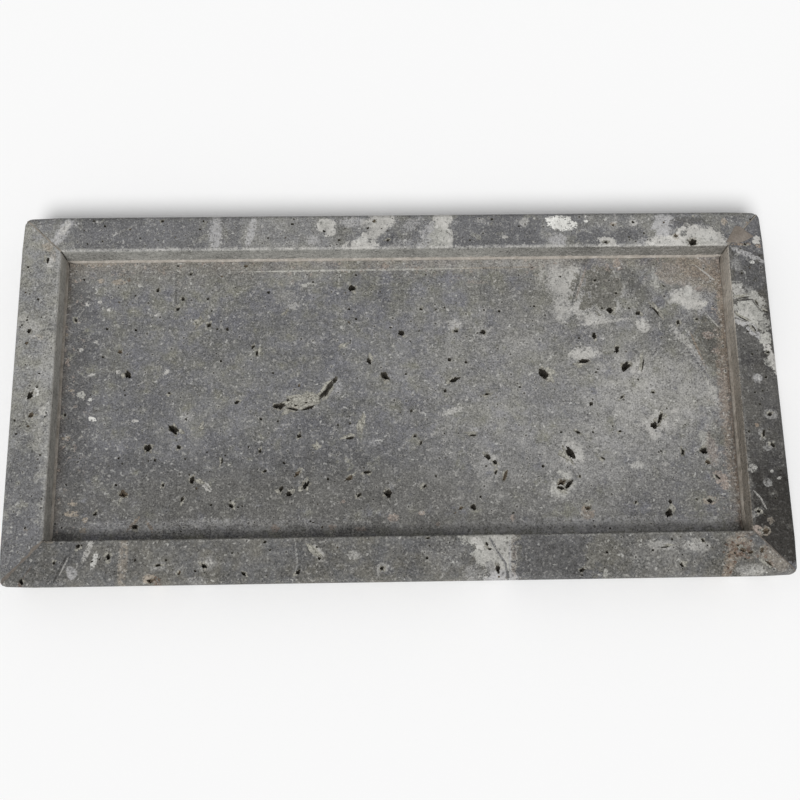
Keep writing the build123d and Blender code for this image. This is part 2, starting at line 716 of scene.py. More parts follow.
class Shader:
    """A material in the making. What its methods take and return as a value is a number or a socket.

    Attributes:
        material: The material.
        tree: Its nodes.
        place: The object's own coordinates, in millimetres.
        own: The same moved aside, so that each stone has its own pattern.
        BLOTCH_ROUGHNESS: Roughness of the noise of blotches.
    """

    BLOTCH_ROUGHNESS = 0.65

    def __init__(self, name: str, aside: tuple[float, float, float] = (0.0, 0.0, 0.0)) -> None:
        """Start the material.

        Args:
            name: Its name.
            aside: How far its pattern is moved.
        """
        self.material = bpy.data.materials.new(name)
        self.tree = empty_tree(self.material)
        coordinates = add_node(self.tree, "TexCoord").outputs["Object"]
        self.place = self.vector("MULTIPLY", coordinates, (1 / METRES,) * 3)
        self.own = self.vector("ADD", self.place, aside) if any(aside) else self.place

    def math(self, operation: str, *values: Value) -> Socket:
        """Return what an operation makes of its values."""
        return add_node(self.tree, "Math", dict(enumerate(values)), operation=operation).outputs[0]

    def vector(self, operation: str, *values: Value) -> Socket:
        """Return what an operation makes of its vectors or colours."""
        node = add_node(self.tree, "VectorMath", dict(enumerate(values)), operation=operation)
        return node.outputs["Value" if operation == "DOT_PRODUCT" else 0]

    def waves(self, place: Socket, size: float, detail: float, roughness: float = 0.5) -> bpy.types.Node:
        """Return a node of noise, whose waves have a size in millimetres."""
        return add_node(self.tree, "TexNoise", {"Vector": place, "Scale": 1 / size, "Detail": detail,
                                                "Roughness": roughness})

    def noise(self, *waves) -> Socket:
        """Return noise as one value. The arguments are those of waves()."""
        return self.waves(*waves).outputs["Fac"]

    def cells(self, place: Socket, size: float) -> bpy.types.Node:
        """Return a node of cells of a size in millimetres."""
        return add_node(self.tree, "TexVoronoi", {"Vector": place, "Scale": 1 / size})

    def climb(self, value: Socket, low: float, high: float, start: Value = 0.0, end: Value = 1.0,
              smooth: bool = False) -> Socket:
        """Turn a value into its climb or fall between two others.

        Args:
            value: The value.
            low: Up to here it gives the start.
            high: From here on it gives the end.
            start: What it gives first.
            end: What it gives last.
            smooth: Whether it sets out and arrives gently.

        Returns:
            What the value gives.
        """
        return add_node(self.tree, "MapRange", {
            "Value": value, "From Min": low, "From Max": high, "To Min": start, "To Max": end,
        }, interpolation_type="SMOOTHSTEP" if smooth else "LINEAR").outputs[0]

    def blotches(self, place: Socket, size: float, detail: float, low: float, high: float,
                 end: float = 1.0) -> Socket:
        """Return noise that climbs from 0 to a value between two of its own values."""
        return self.climb(self.noise(place, size, detail, self.BLOTCH_ROUGHNESS), low, high, 0.0, end)

    def mix(self, share: Value, under: Value, over: Value) -> Socket:
        """Return two colours mixed by a share."""
        return add_node(self.tree, "Mix", {0: share, MIX_A: under, MIX_B: over},
                        data_type="RGBA").outputs[MIX_RESULT]

    def ramp(self, value: Socket, tones: tuple[str, str, str], low: float, high: float) -> Socket:
        """Turn a value into one of three tones.

        Args:
            value: The value.
            tones: The tones, the middle one for a value of a half.
            low: The value that gives the first.
            high: The value that gives the last.

        Returns:
            The tone.
        """
        node = add_node(self.tree, "ValToRGB", {0: value})
        first, last = node.color_ramp.elements
        first.position, last.position = low, high
        first.color, last.color = linear(tones[0]), linear(tones[2])
        node.color_ramp.elements.new(0.5).color = linear(tones[1])
        return node.outputs[0]

    def finish(self, colour: Socket, roughness: Value, relief: Socket, *, specular: float, strength: float,
               deep: float, ior: float = 1.5) -> Material:
        """Give the material its surface.

        Args:
            colour: Its colour.
            roughness: Its roughness.
            relief: The height of its relief.
            specular: The level of its gloss.
            strength: How strongly the relief shows.
            deep: How deep the relief is, in millimetres.
            ior: Its refractive index.

        Returns:
            The material.
        """
        bump = add_node(self.tree, "Bump", {"Height": relief, "Strength": strength,
                                            "Distance": deep * METRES})
        surface = add_node(self.tree, "BsdfPrincipled", {
            "Base Color": colour, "Roughness": roughness, "IOR": ior, "Specular IOR Level": specular,
            "Normal": bump.outputs[0],
        })
        add_node(self.tree, "OutputMaterial", {"Surface": surface.outputs[0]})
        return self.material


@dataclass(frozen=True)
class Stain:
    """Filler and dust that stain the floor beside a wall.

    Attributes:
        side: The side of the tray that the wall is on.
        reach: How far it reaches from the wall.
        tone: Its tone.
        strength: How far it covers the stone.
    """

    side: Side
    reach: float
    tone: Tone
    strength: float


@dataclass(frozen=True)
class Wall:
    """The sawn wall of a rim strip, whose tone changes along it.

    Attributes:
        side: The side of the tray that it is on.
        start: Its tone where the strip starts, going anticlockwise round the tray.
        end: Its tone where the strip ends.
        change: The share of its length at which one passes into the other.
        arris: How much paler its upper edge is, part wear and part painted highlight.
        change_reach: The share of its length that the change takes to either side.
        dim: How dark its streaks are.
    """

    side: Side
    start: str
    end: str
    change: float
    arris: float
    change_reach: float = 0.3
    dim: float = 0.66


@dataclass(frozen=True)
class Travertine:
    """Honed travertine: a porous limestone whose fine crystals give a matt, mottled, speckled face.

    Attributes:
        name: Name of the material.
        cool: Its bluish ground tone.
        warm: Its yellowish ground tone.
        level: Height of the face that its patches were read on.
        patches: Its patches, the later ones over the earlier ones.
        seed: Moves the pattern, so that each stone has its own.
        stains: Its stains, if it is the floor.
        wall: The strip's wall, if it is a strip.
    """

    name: str
    cool: str
    warm: str
    level: float
    patches: tuple[tuple, ...]
    seed: float
    stains: tuple[Stain, ...] = ()
    wall: Wall | None = None

    # Size, detail and roughness of the grain, and with a strength those of each layer of clouds
    GRAIN = (0.85, 2.0, 0.75)
    CLOUDS = ((2.4, 3.0, 0.75, 0.8), (9.0, 5.0, 0.62, 0.75), (38.0, 5.0, 0.6, 1.0))
    # The arguments of blotches() for the change between the two ground tones
    HUE = (11.0, 6.0, 0.4, 0.6)
    # From which to which lightness of the ground each effect goes, and from which to which strength
    GRAIN_STRENGTH = (0.25, 0.55, 2.6, 0.45)
    GLINT = (0.03, 0.17, 0.15, 1.0)
    SOUND = (0.27, 0.5, 1.0, 0.2)
    # Size, least and greatest value, tone and strength of each kind of fleck
    FLECKS = ((1.7, 0.60, 0.72, Tone.PALE, 0.45), (2.4, 0.69, 0.75, Tone.WHITE, 0.45),
              (1.7, 0.60, 0.70, Tone.DARK, 0.6))
    # How far apart the patterns of the kinds of fleck lie in the noise, and how far aside they all lie
    FLECK_SPACING, FLECK_ASIDE = 53.0, (7.0, 29.0)
    # Cell, share of cells with a pore, greatest radius and strength of the rim of each kind of pore
    PORES = ((3.3, 0.62, 0.74, 0.42), (1.6, 0.55, 0.4, 0.28))
    # Size and detail of the noise that bends their outlines, the radius from which they are drawn, where
    # their rims begin, and how far these reach
    PORE_BEND, PORE_FROM, LIP_FROM, LIP_REACH = (0.9, 1.0), -0.15, 0.05, 0.5
    # The arguments of climb() over the distance from a pore's rim, for the pore itself
    HOLE = (-0.05, 0.03, 0.85, 0.0)
    # Size, reach and raggedness of the noise that breaks up a patch's outline, from lines to large patches,
    # and the least widths in pixels of all but the first
    WAYS = ((1.2, 0.3, 2.0), (1.4, 0.8, 9.0), (2.2, 1.7, 5.5), (8.0, 6.0, 6.0))
    COARSER = (2.9, 9.0, 20.0)
    TORN_DETAIL, TORN_ROUGHNESS = 4.0, 0.7
    # Where in its gradient a patch has its edge, the least softness, and how far it reaches down
    EDGE, LEAST_SOFTNESS, COLUMN = 0.3, 0.1, 1000.0
    # The arguments of blotches() for the smears and spots of filler on the floor, the gaps in the pale line
    # along a wall's upper edge, which is part wear and part painted highlight, and the wall's streaks, with
    # how far these are drawn out
    SMEARS, SPOTS = (7.0, 5.0, 0.3, 0.6), (3.4, 2.0, 0.62, 0.68)
    GAPS, STREAKS, DRAWN_OUT = (3.0, 3.0, 0.3, 0.6), (1.0, 3.0, 0.35, 0.65), (0.06, 0.06, 0.9)
    # The arguments of climb() over the distance from a wall, for the spots, the pale line of wear and
    # painted highlight, and the wall
    SPOT_REACH, LINE_REACH, WALL_REACH = (2.0, 18.0, 0.9, 0.0), (-2.2, -0.7, 0.0), (-0.5, -0.15, 0.0, 0.8)
    # The arguments of climb() from the grain to the roughness
    ROUGHNESS = (0.0, 1.0, 0.8, 0.6)

    def build(self) -> Material:
        """Build the material.

        Returns:
            The material.
        """
        shader = Shader(self.name, (self.seed, self.seed * 1.7, self.seed * 0.6))
        grain = shader.noise(shader.own, *self.GRAIN)
        clouds: Value = 1.0 - 0.5 * sum(weight for *_, weight in self.CLOUDS)
        for *layer, weight in self.CLOUDS:
            clouds = shader.math("MULTIPLY_ADD", shader.noise(shader.own, *layer), weight, clouds)
        ground = shader.mix(shader.blotches(shader.own, *self.HUE), linear(self.cool), linear(self.warm))
        ground = self.lay_patches(shader, ground)
        for stain in self.stains:
            ground = self.lay_stain(shader, ground, stain)
        if self.wall:
            ground = self.dress_wall(shader, ground, self.wall)
        light = add_node(shader.tree, "RGBToBW", {0: ground}).outputs[0]
        swing = shader.math("SUBTRACT", grain, 0.5)
        total = shader.math("MULTIPLY_ADD", swing, shader.climb(light, *self.GRAIN_STRENGTH), clouds)
        glint = shader.climb(light, *self.GLINT)
        colour = self.fleck(shader, shader.vector("MULTIPLY", ground, total), glint)
        colour, pores = self.open_pores(shader, colour, shader.climb(light, *self.SOUND), glint)
        relief = shader.math("SUBTRACT", grain, pores)
        return shader.finish(colour, shader.climb(grain, *self.ROUGHNESS), relief, specular=0.25,
                             strength=0.5, deep=0.3, ior=1.49)

    def open_pores(self, shader: Shader, colour: Socket, share: Socket,
                   glint: Socket) -> tuple[Socket, Socket]:
        """Strew pores, which are too small to be cut: dark as painted shade of their holes, each with a
        paler rim.

        Args:
            shader: The material.
            colour: The colour so far.
            share: How strongly the pores show, which is less on sound pale stone.
            glint: How strongly their rims show, which is less on dark stone.

        Returns:
            The colour with the pores, and how deep they are.
        """
        shift = shader.waves(shader.own, *self.PORE_BEND).outputs["Color"]
        warped = shader.vector("ADD", shift, shader.own)
        depth: Value = 0.0
        for cell, number, reach, rim in self.PORES:
            cells = shader.cells(warped, cell)
            drawn = add_node(shader.tree, "SeparateColor", {0: cells.outputs["Color"]}).outputs[0]
            radius = shader.climb(drawn, 1.0 - number, 1.0, self.PORE_FROM, reach / cell)
            off = shader.math("SUBTRACT", cells.outputs["Distance"], radius)
            lip = shader.climb(off, self.LIP_FROM, self.LIP_REACH / cell, rim, 0.0)
            lip = shader.math("MULTIPLY", lip, glint)
            colour = shader.mix(lip, colour, linear(Tone.PALE.value))
            # Painted shade: each pore's hole is darkened towards black.
            hole = shader.climb(off, *self.HOLE)
            colour = shader.mix(shader.math("MULTIPLY", hole, share), colour, linear(Tone.BLACK.value))
            depth = shader.math("ADD", depth, hole)
        return colour, depth

    def lay_patches(self, shader: Shader, ground: Socket) -> Socket:
        """Lay the patches over the ground tone.

        Args:
            shader: The material.
            ground: The ground tone.

        Returns:
            The tone with the patches.
        """
        ways = []
        warped = shader.place
        for size, reach, ragged in self.WAYS:
            waves = shader.waves(shader.own, size, self.TORN_DETAIL, self.TORN_ROUGHNESS)
            shift = shader.vector("SUBTRACT", waves.outputs["Color"], (0.5,) * 3)
            warped = shader.vector("MULTIPLY_ADD", shift, (reach,) * 3, warped)
            ways.append((warped, shader.math("MULTIPLY_ADD", waves.outputs["Fac"], ragged, -0.5 * ragged)))
        grow = VIEW.pixel(self.level) / 2 / (1.0 - self.EDGE)
        for patch in (Patch(*row) for row in self.patches):
            middle = VIEW.spot(patch.x, patch.y, self.level)
            thin = min(patch.long, patch.wide)
            warped, tear = ways[sum(thin >= least for least in self.COARSER)]
            local = add_node(shader.tree, "Mapping", {
                "Vector": warped, "Location": (middle.x, middle.y, 0.0),
                "Rotation": (0.0, 0.0, radians(patch.turn)),
                "Scale": (grow * patch.long, grow * patch.wide, self.COLUMN),
            }, vector_type="TEXTURE").outputs[0]
            ball = add_node(shader.tree, "TexGradient", {"Vector": local},
                            gradient_type="SPHERICAL").outputs["Fac"]
            torn = shader.math("MULTIPLY_ADD", ball, tear, ball)
            fade = self.EDGE * max(self.LEAST_SOFTNESS, patch.softness ** 2)
            share = shader.climb(torn, self.EDGE - fade, self.EDGE + fade, 0.0, patch.strength, smooth=True)
            ground = shader.mix(share, ground, linear(patch.tone.value))
        return ground

    def beyond(self, shader: Shader, side: Side) -> Socket:
        """Return how far inside a side's wall a point lies, less than nothing on the rim."""
        start, _, _, inward = TRAY.wall(side)
        far = shader.vector("DOT_PRODUCT", shader.place, inward)
        return shader.math("SUBTRACT", far, start.dot(inward))

    def lay_stain(self, shader: Shader, ground: Socket, stain: Stain) -> Socket:
        """Stain the floor beside a wall with smears and spots of filler.

        Args:
            shader: The material.
            ground: The tone so far.
            stain: The stain.

        Returns:
            The stained tone.
        """
        far = self.beyond(shader, stain.side)
        haze = shader.climb(far, 0.0, stain.reach, 1.0, 0.0, smooth=True)
        smears = shader.blotches(shader.own, *self.SMEARS, stain.strength)
        ground = shader.mix(shader.math("MULTIPLY", haze, smears), ground, linear(stain.tone.value))
        near = shader.climb(far, *self.SPOT_REACH)
        spots = shader.math("MULTIPLY", near, shader.blotches(shader.own, *self.SPOTS))
        return shader.mix(spots, ground, linear(Tone.PINK.value))

    def dress_wall(self, shader: Shader, ground: Socket, wall: Wall) -> Socket:
        """Give the strip's sawn wall its tone and streaks, and its upper edge a pale line of wear and
        painted highlight.

        Args:
            shader: The material.
            ground: The tone so far.
            wall: The wall.

        Returns:
            The tone with the wall.
        """
        far = self.beyond(shader, wall.side)
        # The pale line along the upper edge is part wear and part painted highlight.
        edge = shader.climb(far, *self.LINE_REACH, wall.arris, smooth=True)
        worn = shader.math("MULTIPLY", edge, shader.blotches(shader.own, *self.GAPS))
        ground = shader.mix(worn, ground, linear(Tone.PALE.value))
        start, end, along, _ = TRAY.wall(wall.side)
        change = start.dot(along) + (end - start).length * wall.change
        reach = (end - start).length * wall.change_reach
        passed = shader.climb(shader.vector("DOT_PRODUCT", shader.place, along), change - reach,
                              change + reach, smooth=True)
        tone = shader.mix(passed, linear(wall.start), linear(wall.end))
        streaks = shader.blotches(shader.vector("MULTIPLY", shader.own, self.DRAWN_OUT), *self.STREAKS)
        tone = shader.mix(streaks, shader.vector("MULTIPLY", tone, (wall.dim,) * 3), tone)
        return shader.mix(shader.climb(far, *self.WALL_REACH), ground, tone)

    def fleck(self, shader: Shader, colour: Socket, glint: Socket) -> Socket:
        """Strew pale crystals and dark grains.

        Args:
            shader: The material.
            colour: The colour so far.
            glint: How strongly the pale ones show, which is less on dark stone.

        Returns:
            The flecked colour.
        """
        for number, (size, low, high, tone, strength) in enumerate(self.FLECKS):
            moved = shader.vector("ADD", shader.own, (number * self.FLECK_SPACING, *self.FLECK_ASIDE))
            share = shader.blotches(moved, size, 1.0, low, high, strength)
            if tone is not Tone.DARK:
                share = shader.math("MULTIPLY", share, glint)
            colour = shader.mix(share, colour, linear(tone.value))
        return colour


@dataclass(frozen=True)
class PitLining:
    """The inside of a pit: rough broken travertine, dark with grime and painted shade, or pale with bare
    crystals.

    Attributes:
        name: Name of the material.
        dirt: Tone of the depths of a pit with the dark lining: grime, made darker still as painted shade.
        filler: Tone of a filled one.
        crystal: Tone of one with bare crystals.
        wall: Tone of its walls above the depths, partly grime and partly painted shade.
        lip: Tone of its lips, partly pale crystal and partly painted highlight.
        roughness: Its roughness.
    """

    name: str = "travertine_pit_lining"
    dirt: str = "#36332e"
    filler: str = "#6c6255"
    crystal: str = "#a5a39a"
    wall: str = "#514e47"
    lip: str = "#85837c"
    roughness: float = 0.9

    # The arguments of climb() over the depth, for walls and lips, and over the noise of the crystals; the
    # tones darken downwards, partly as painted shade
    WALL_DEPTH, LIP_DEPTH, SPARKLE = (0.35, 1.1), (0.05, 0.3), (0.35, 0.65, 0.45, 1.5)
    # How much deeper the walls of a pale pit reach, and the crystals' size, detail and roughness
    PALE_DEPTH, CRYSTALS = 1.2, (0.9, 4.0, 0.7)

    def build(self) -> Material:
        """Build the material, which reads each pit's own lining and depth.

        Returns:
            The material.
        """
        shader = Shader(self.name)
        lining, depth = (add_node(shader.tree, "Attribute", attribute_name=name).outputs["Fac"]
                         for name in ("lining", "depth"))
        # Painted shade, with grime: from its pale lips down, a pit's tone darkens over its walls, and over
        # its depths too where the lining is the dark one.
        tone = shader.ramp(lining, (self.dirt, self.filler, self.crystal), 0.0, 1.0)
        pale = shader.math("MULTIPLY_ADD", lining, self.PALE_DEPTH, depth)
        tone = shader.mix(shader.climb(pale, *self.WALL_DEPTH), linear(self.wall), tone)
        tone = shader.mix(shader.climb(depth, *self.LIP_DEPTH), linear(self.lip), tone)
        crystals = shader.noise(shader.place, *self.CRYSTALS)
        colour = shader.vector("MULTIPLY", tone, shader.climb(crystals, *self.SPARKLE))
        return shader.finish(colour, self.roughness, crystals, specular=0.1, strength=0.8, deep=0.5)


@dataclass(frozen=True)
class StoneFiller:
    """Polyester stone filler, rubbed back flush: a dense tan resin, smoother than the stone round it.

    Attributes:
        name: Name of the material.
        tone: Its middle tone.
        shade: Its darker tone.
        glow: Its paler tone.
        roughness: Its roughness.
        clean_above: The height under which it is darker.
    """

    name: str
    tone: str
    shade: str
    glow: str
    roughness: float = 0.55
    clean_above: float = 0.0

    # Size, detail and roughness of its clouds, and of the dust on it, and the range of the clouds
    CLOUDS, DUST, CLOUD_RANGE = (6.0, 5.0, 0.65), (0.8, 3.0), (0.3, 0.7)
    # The arguments of climb() over the noise of the dust
    SPECKS = (0.3, 0.7, 0.82, 1.18)
    # Over how much height the darker foot ends, and how dark it is
    DIRT_FADE, DIRT = 0.4, 0.58

    def build(self) -> Material:
        """Build the material.

        Returns:
            The material.
        """
        shader = Shader(self.name)
        height = add_node(shader.tree, "SeparateXYZ", {0: shader.place}).outputs["Z"]
        # Darker towards the foot, below a height.
        undarkened = shader.climb(height, self.clean_above - self.DIRT_FADE, self.clean_above, self.DIRT)
        clouds = shader.noise(shader.place, *self.CLOUDS)
        dust = shader.noise(shader.place, *self.DUST)
        speck = shader.math("MULTIPLY", shader.climb(dust, *self.SPECKS), undarkened)
        tone = shader.ramp(clouds, (self.shade, self.tone, self.glow), *self.CLOUD_RANGE)
        colour = shader.vector("MULTIPLY", tone, speck)
        return shader.finish(colour, self.roughness, dust, specular=0.3, strength=0.2, deep=0.2, ior=1.54)


@dataclass(frozen=True)
class FoamedRubber:
    """Foamed rubber sheet, punched into discs: matt black with fine open cells.

    Attributes:
        name: Name of the material.
        tone: Its tone.
        cell: Size of its cells.
        roughness: Its roughness.
    """

    name: str = "foamed_rubber"
    tone: str = "#222221"
    cell: float = 0.5
    roughness: float = 0.9

    # The arguments of climb() from a cell's middle to its wall
    SHADE = (0.0, 1.0, 0.5, 1.3)

    def build(self) -> Material:
        """Build the material.

        Returns:
            The material.
        """
        shader = Shader(self.name)
        depth = shader.cells(shader.place, self.cell).outputs["Distance"]
        colour = shader.vector("MULTIPLY", linear(self.tone)[:3], shader.climb(depth, *self.SHADE))
        return shader.finish(colour, self.roughness, depth, specular=0.3, strength=0.6, deep=0.2)


WHITE, PALE, LILAC, CREAM, ASH, SLATE, DARK, BLACK, VIOLET, OLIVE, TAN, ORANGE, BROWN, RUST, PINK = Tone
DIRTY, FILLED, CRYSTAL = Lining

# Pits of each stone: middle, length and width in pixels of the reference view, turn in degrees, lining
FLOOR_PITS = (
    (67.6, 264, 3, 2.5, 0), (178, 266, 3, 2.5, 0), (191, 274, 4, 3, 30), (158, 290, 5, 3.5, 60),
    (183, 299, 4, 4, 0), (178, 309, 5, 3.5, 45), (197, 322, 9, 6, 40, CRYSTAL), (76, 320, 4.5, 3, 90),
    (107, 329, 3, 3, 0), (136, 330, 3, 3, 0), (120, 352, 5, 4, 20, FILLED), (103, 357, 3, 2.5, 0),
    (128, 375, 8.5, 6, 100), (169, 393, 3.5, 2.5, 0), (125, 395, 2.5, 2.2, 0), (208, 299, 3, 3, 0),
    (209, 325, 5, 4, 70), (221, 361, 3, 3, 0), (237, 402, 5.5, 4, 30), (277, 406, 8, 5, 10),
    (246, 266, 5, 3, 0, FILLED), (290, 258, 3, 2.5, 0), (336, 258, 6, 2, 0), (352, 288, 8, 7, 20),
    (356, 275, 3, 2.5, 0), (349, 309, 3, 3, 0), (356, 319, 3, 3, 0), (313, 282, 3, 2.5, 0),
    (286, 312, 8, 2.5, 50, CRYSTAL), (253, 347, 6, 3, 50), (257, 353, 6, 3, 80), (273, 373, 3, 2.5, 0),
    (341, 345, 8, 2.5, 40, CRYSTAL), (369, 361, 8, 4.5, 110), (385, 376, 10, 6.5, 130), (401, 333, 7, 6, 0),
    (421, 309, 4, 3, 0), (499, 311, 3, 3, 0), (534, 306, 3, 2.5, 0), (483, 332, 5.5, 5, 0),
    (477, 333, 2.5, 2, 0), (456, 331, 5, 3.5, 0), (466, 362, 3, 3, 0), (454, 380, 12, 5, 20),
    (406, 374, 2.5, 2.5, 0), (487, 394, 6, 3, 10), (520, 387, 3, 2.5, 0), (543, 373, 13, 7.5, 130),
    (595, 280, 3.5, 3, 0), (584, 361, 13, 4.5, 5), (594, 335, 8, 4.5, 85), (579, 338, 3, 2.5, 0),
    (596, 372, 3, 2.5, 0), (610, 310, 8, 6.5, 60), (638, 313, 5.5, 4.5, 0), (616, 293, 3.5, 3, 0),
    (602, 308, 3, 2.5, 0), (629, 308, 2.5, 2.5, 0), (656, 311, 13, 3, 125), (678, 322, 5.5, 3.5, 80),
    (697, 319, 3.5, 3, 0), (617, 349, 8, 4.5, 80), (626, 366, 11, 8, 50), (653, 392, 4.5, 3, 0),
    (622, 397, 5, 2.5, 30), (643, 364, 14, 2.2, 80), (65, 415, 4, 3, 90), (173, 429, 12, 7, 150),
    (148, 448, 8, 7, 60), (179, 447, 5, 4, 0), (155, 460, 3, 3, 0), (185, 459, 2.5, 2.2, 0),
    (192, 480, 8, 5, 80), (202, 482, 9, 2, 160, CRYSTAL), (116, 485, 3, 3, 0), (163, 485, 4, 3, 90),
    (123, 494, 9, 7, 40, FILLED), (182, 499, 6.5, 3, 60), (95, 514, 5, 3.5, 50), (135, 527, 6.5, 5, 100),
    (186, 419, 3, 2.2, 0), (201, 428, 6, 5.5, 0, CRYSTAL), (207, 452, 2.4, 2.2, 0), (261, 419, 3.2, 3, 0),
    (278, 421, 2.6, 2.3, 0), (338, 425, 2.4, 2.2, 0), (363, 420, 13, 5, 80, CRYSTAL),
    (350, 438, 9, 3.2, 10), (299, 436, 4.5, 4.5, 0), (260, 451, 4.5, 3, 80), (222, 461, 6, 2.2, 85),
    (265, 471, 4.5, 3.2, 10), (284, 463, 3, 3, 0), (306, 485, 9.5, 6, 55), (281, 489, 6, 4, 60),
    (289, 494, 6, 5, 0), (297, 474, 7, 4.5, 55, FILLED), (328, 479, 3, 3, 0), (349, 478, 9, 4, 30, FILLED),
    (367, 472, 8, 3.2, 5), (359, 495, 5.5, 3.8, 40), (388, 494, 9, 7, 110), (231, 506, 5.5, 4.5, 140),
    (238, 507, 2.6, 2.5, 0), (242, 506, 2.2, 2.2, 0), (211, 505, 3, 2.6, 90), (315, 447, 6, 5, 90, CRYSTAL),
    (415, 436, 4, 3, 20), (421, 443, 5, 2.8, 60), (488, 457, 6.5, 4.5, 125), (495, 462, 6, 3.8, 140),
    (496, 472, 6, 3, 70), (486, 466, 2.4, 2.2, 0), (436, 476, 3.2, 2.2, 90), (425, 486, 5, 3.2, 40),
    (473, 435, 8, 2.4, 0), (461, 508, 4.5, 3, 30, FILLED), (473, 507, 6, 5, 110),
    (505, 476, 13, 3.5, 70, FILLED), (578, 432, 6, 3, 145), (561, 432, 2.6, 2.3, 0),
    (593, 432, 2.6, 2.3, 0), (620, 431, 3.6, 2.4, 20), (570, 452, 15, 6.5, 120), (561, 488, 9, 4, 155),
    (569, 484, 10, 5, 50), (562, 482, 9, 6, 30, FILLED), (543, 466, 3.4, 3, 0), (580, 476, 3.6, 2.2, 100),
    (588, 508, 6, 4.5, 20, FILLED), (603, 458, 6, 2, 150), (654, 425, 8.5, 7.5, 20),
    (660, 418, 12, 4.5, 62), (683, 452, 7.5, 3.8, 88), (704, 451, 8, 7, 20), (708, 462, 5, 4.6, 0, FILLED),
    (718, 477, 8, 3, 130), (710, 501, 6.5, 4.2, 155), (669, 513, 9.5, 7.5, 80), (636, 502, 3.6, 3, 60),
    (661, 451, 2.4, 2.2, 0), (697, 499, 2.6, 2.4, 0),
)

BACK_PITS = (
    (162.6, 221, 4, 3.2, 60), (105, 226, 3.2, 2.8, 0), (94, 221, 2.6, 2.6, 0), (292, 224, 3, 3, 0),
    (324, 231, 3.4, 3, 0), (368, 228, 3, 3, 0), (374, 221, 4, 3, 60, FILLED), (492, 219, 3, 2.6, 0),
    (633, 222, 3.4, 3.2, 0), (644, 233, 2.6, 2.4, 0), (629, 237, 2.4, 2.2, 0), (613, 225, 3, 3, 0, FILLED),
    (693, 242, 8, 7, 110), (676, 236, 4, 3.6, 0, FILLED), (693, 216, 3.4, 3, 0, CRYSTAL),
    (606, 242, 4, 3, 0), (750.5, 219, 3, 2.2, 0), (753, 232, 6, 2.2, 110), (388, 240, 5, 3, 20),
    (519, 226, 2.6, 2.4, 0), (140, 238, 2.4, 2.2, 0), (200, 229, 2.6, 2.4, 0), (268, 238, 2.4, 2.2, 0),
    (470, 240, 2.4, 2.2, 0),
)

RIGHT_PITS = (
    (766, 377, 3.4, 3, 0), (770, 414, 5, 4, 30), (764, 433, 8, 3.4, 85), (773, 445, 6, 4, 130),
    (749, 431, 3, 2.6, 0), (759, 511, 5, 3.6, 0), (766, 531, 8, 5, 25, FILLED), (745, 244, 3.6, 2.6, 0),
    (728, 244, 3, 2.4, 90), (744, 297, 13, 1.8, 5), (757, 303, 9, 1.8, 115), (766, 311, 9, 1.8, 160),
    (744, 319, 14, 1.8, 150), (754, 328, 9, 1.8, 120), (768, 352, 4, 3, 0), (742, 273, 3, 2.4, 0),
    (760, 404, 2.6, 2.4, 0), (755, 392, 2.4, 2.2, 0), (781, 470, 2.6, 2.4, 0), (776, 498, 2.6, 2.2, 0),
)

FRONT_PITS = (
    (108, 557, 6.5, 4.5, 85), (135, 560, 3.4, 2.6, 60), (158, 565, 7, 2.8, 10), (166, 560, 2.6, 2.4, 0),
    (179, 573, 5, 3.2, 80, FILLED), (195, 571, 3, 2.6, 0), (78, 546, 6, 4, 60), (54, 563, 3.6, 3, 60),
    (204, 566, 6.5, 4.5, 150), (244, 574, 6, 3.8, 140), (232, 553, 2.6, 2.4, 0), (265, 542, 3.6, 3, 0),
    (270, 550, 2.6, 2.2, 0), (298, 572, 7, 4, 50), (382, 568, 4, 3.6, 30), (427, 558, 3.4, 3, 0),
    (582, 570, 6, 3.6, 30), (582, 575, 4, 2, 0), (653, 550, 3, 2.8, 0), (682, 565, 5.5, 3.4, 125),
    (703, 540, 4.6, 3.2, 130), (487, 544, 4.4, 3, 120), (490, 549, 3.4, 2.6, 0), (498, 569, 8, 4, 95),
    (499, 577, 3, 2.6, 0, FILLED), (665, 547, 10, 1.8, 5), (607, 552, 3.4, 3, 0),
    (743, 550, 6, 4.5, 150, FILLED), (751, 552, 5, 3.6, 20, FILLED), (738, 545, 3, 2.6, 0, FILLED),
    (762, 550, 6, 3.2, 60, FILLED), (769, 563, 9, 3, 140, FILLED), (735, 553, 3, 2.4, 0),
    (21, 582, 8, 4.5, 100), (150, 581, 9, 5, 0, FILLED), (318, 553, 15, 4, 130, CRYSTAL),
    (428, 538, 5, 2.6, 10),
)

LEFT_PITS = (
    (48, 260, 7, 3.2, 88), (28, 267, 2.8, 2.6, 0), (29, 331, 5, 4, 60), (27, 320, 2.6, 2.4, 0),
    (22, 325, 2.4, 2.2, 0), (30, 395, 9, 5.5, 55), (37, 387, 2.6, 2.4, 0), (31, 415, 6, 5, 30, FILLED),
    (16, 434, 2.8, 2.6, 0), (25, 528, 2.6, 2.4, 0), (18, 290, 2.4, 2.2, 0), (40, 455, 2.4, 2.2, 0),
)

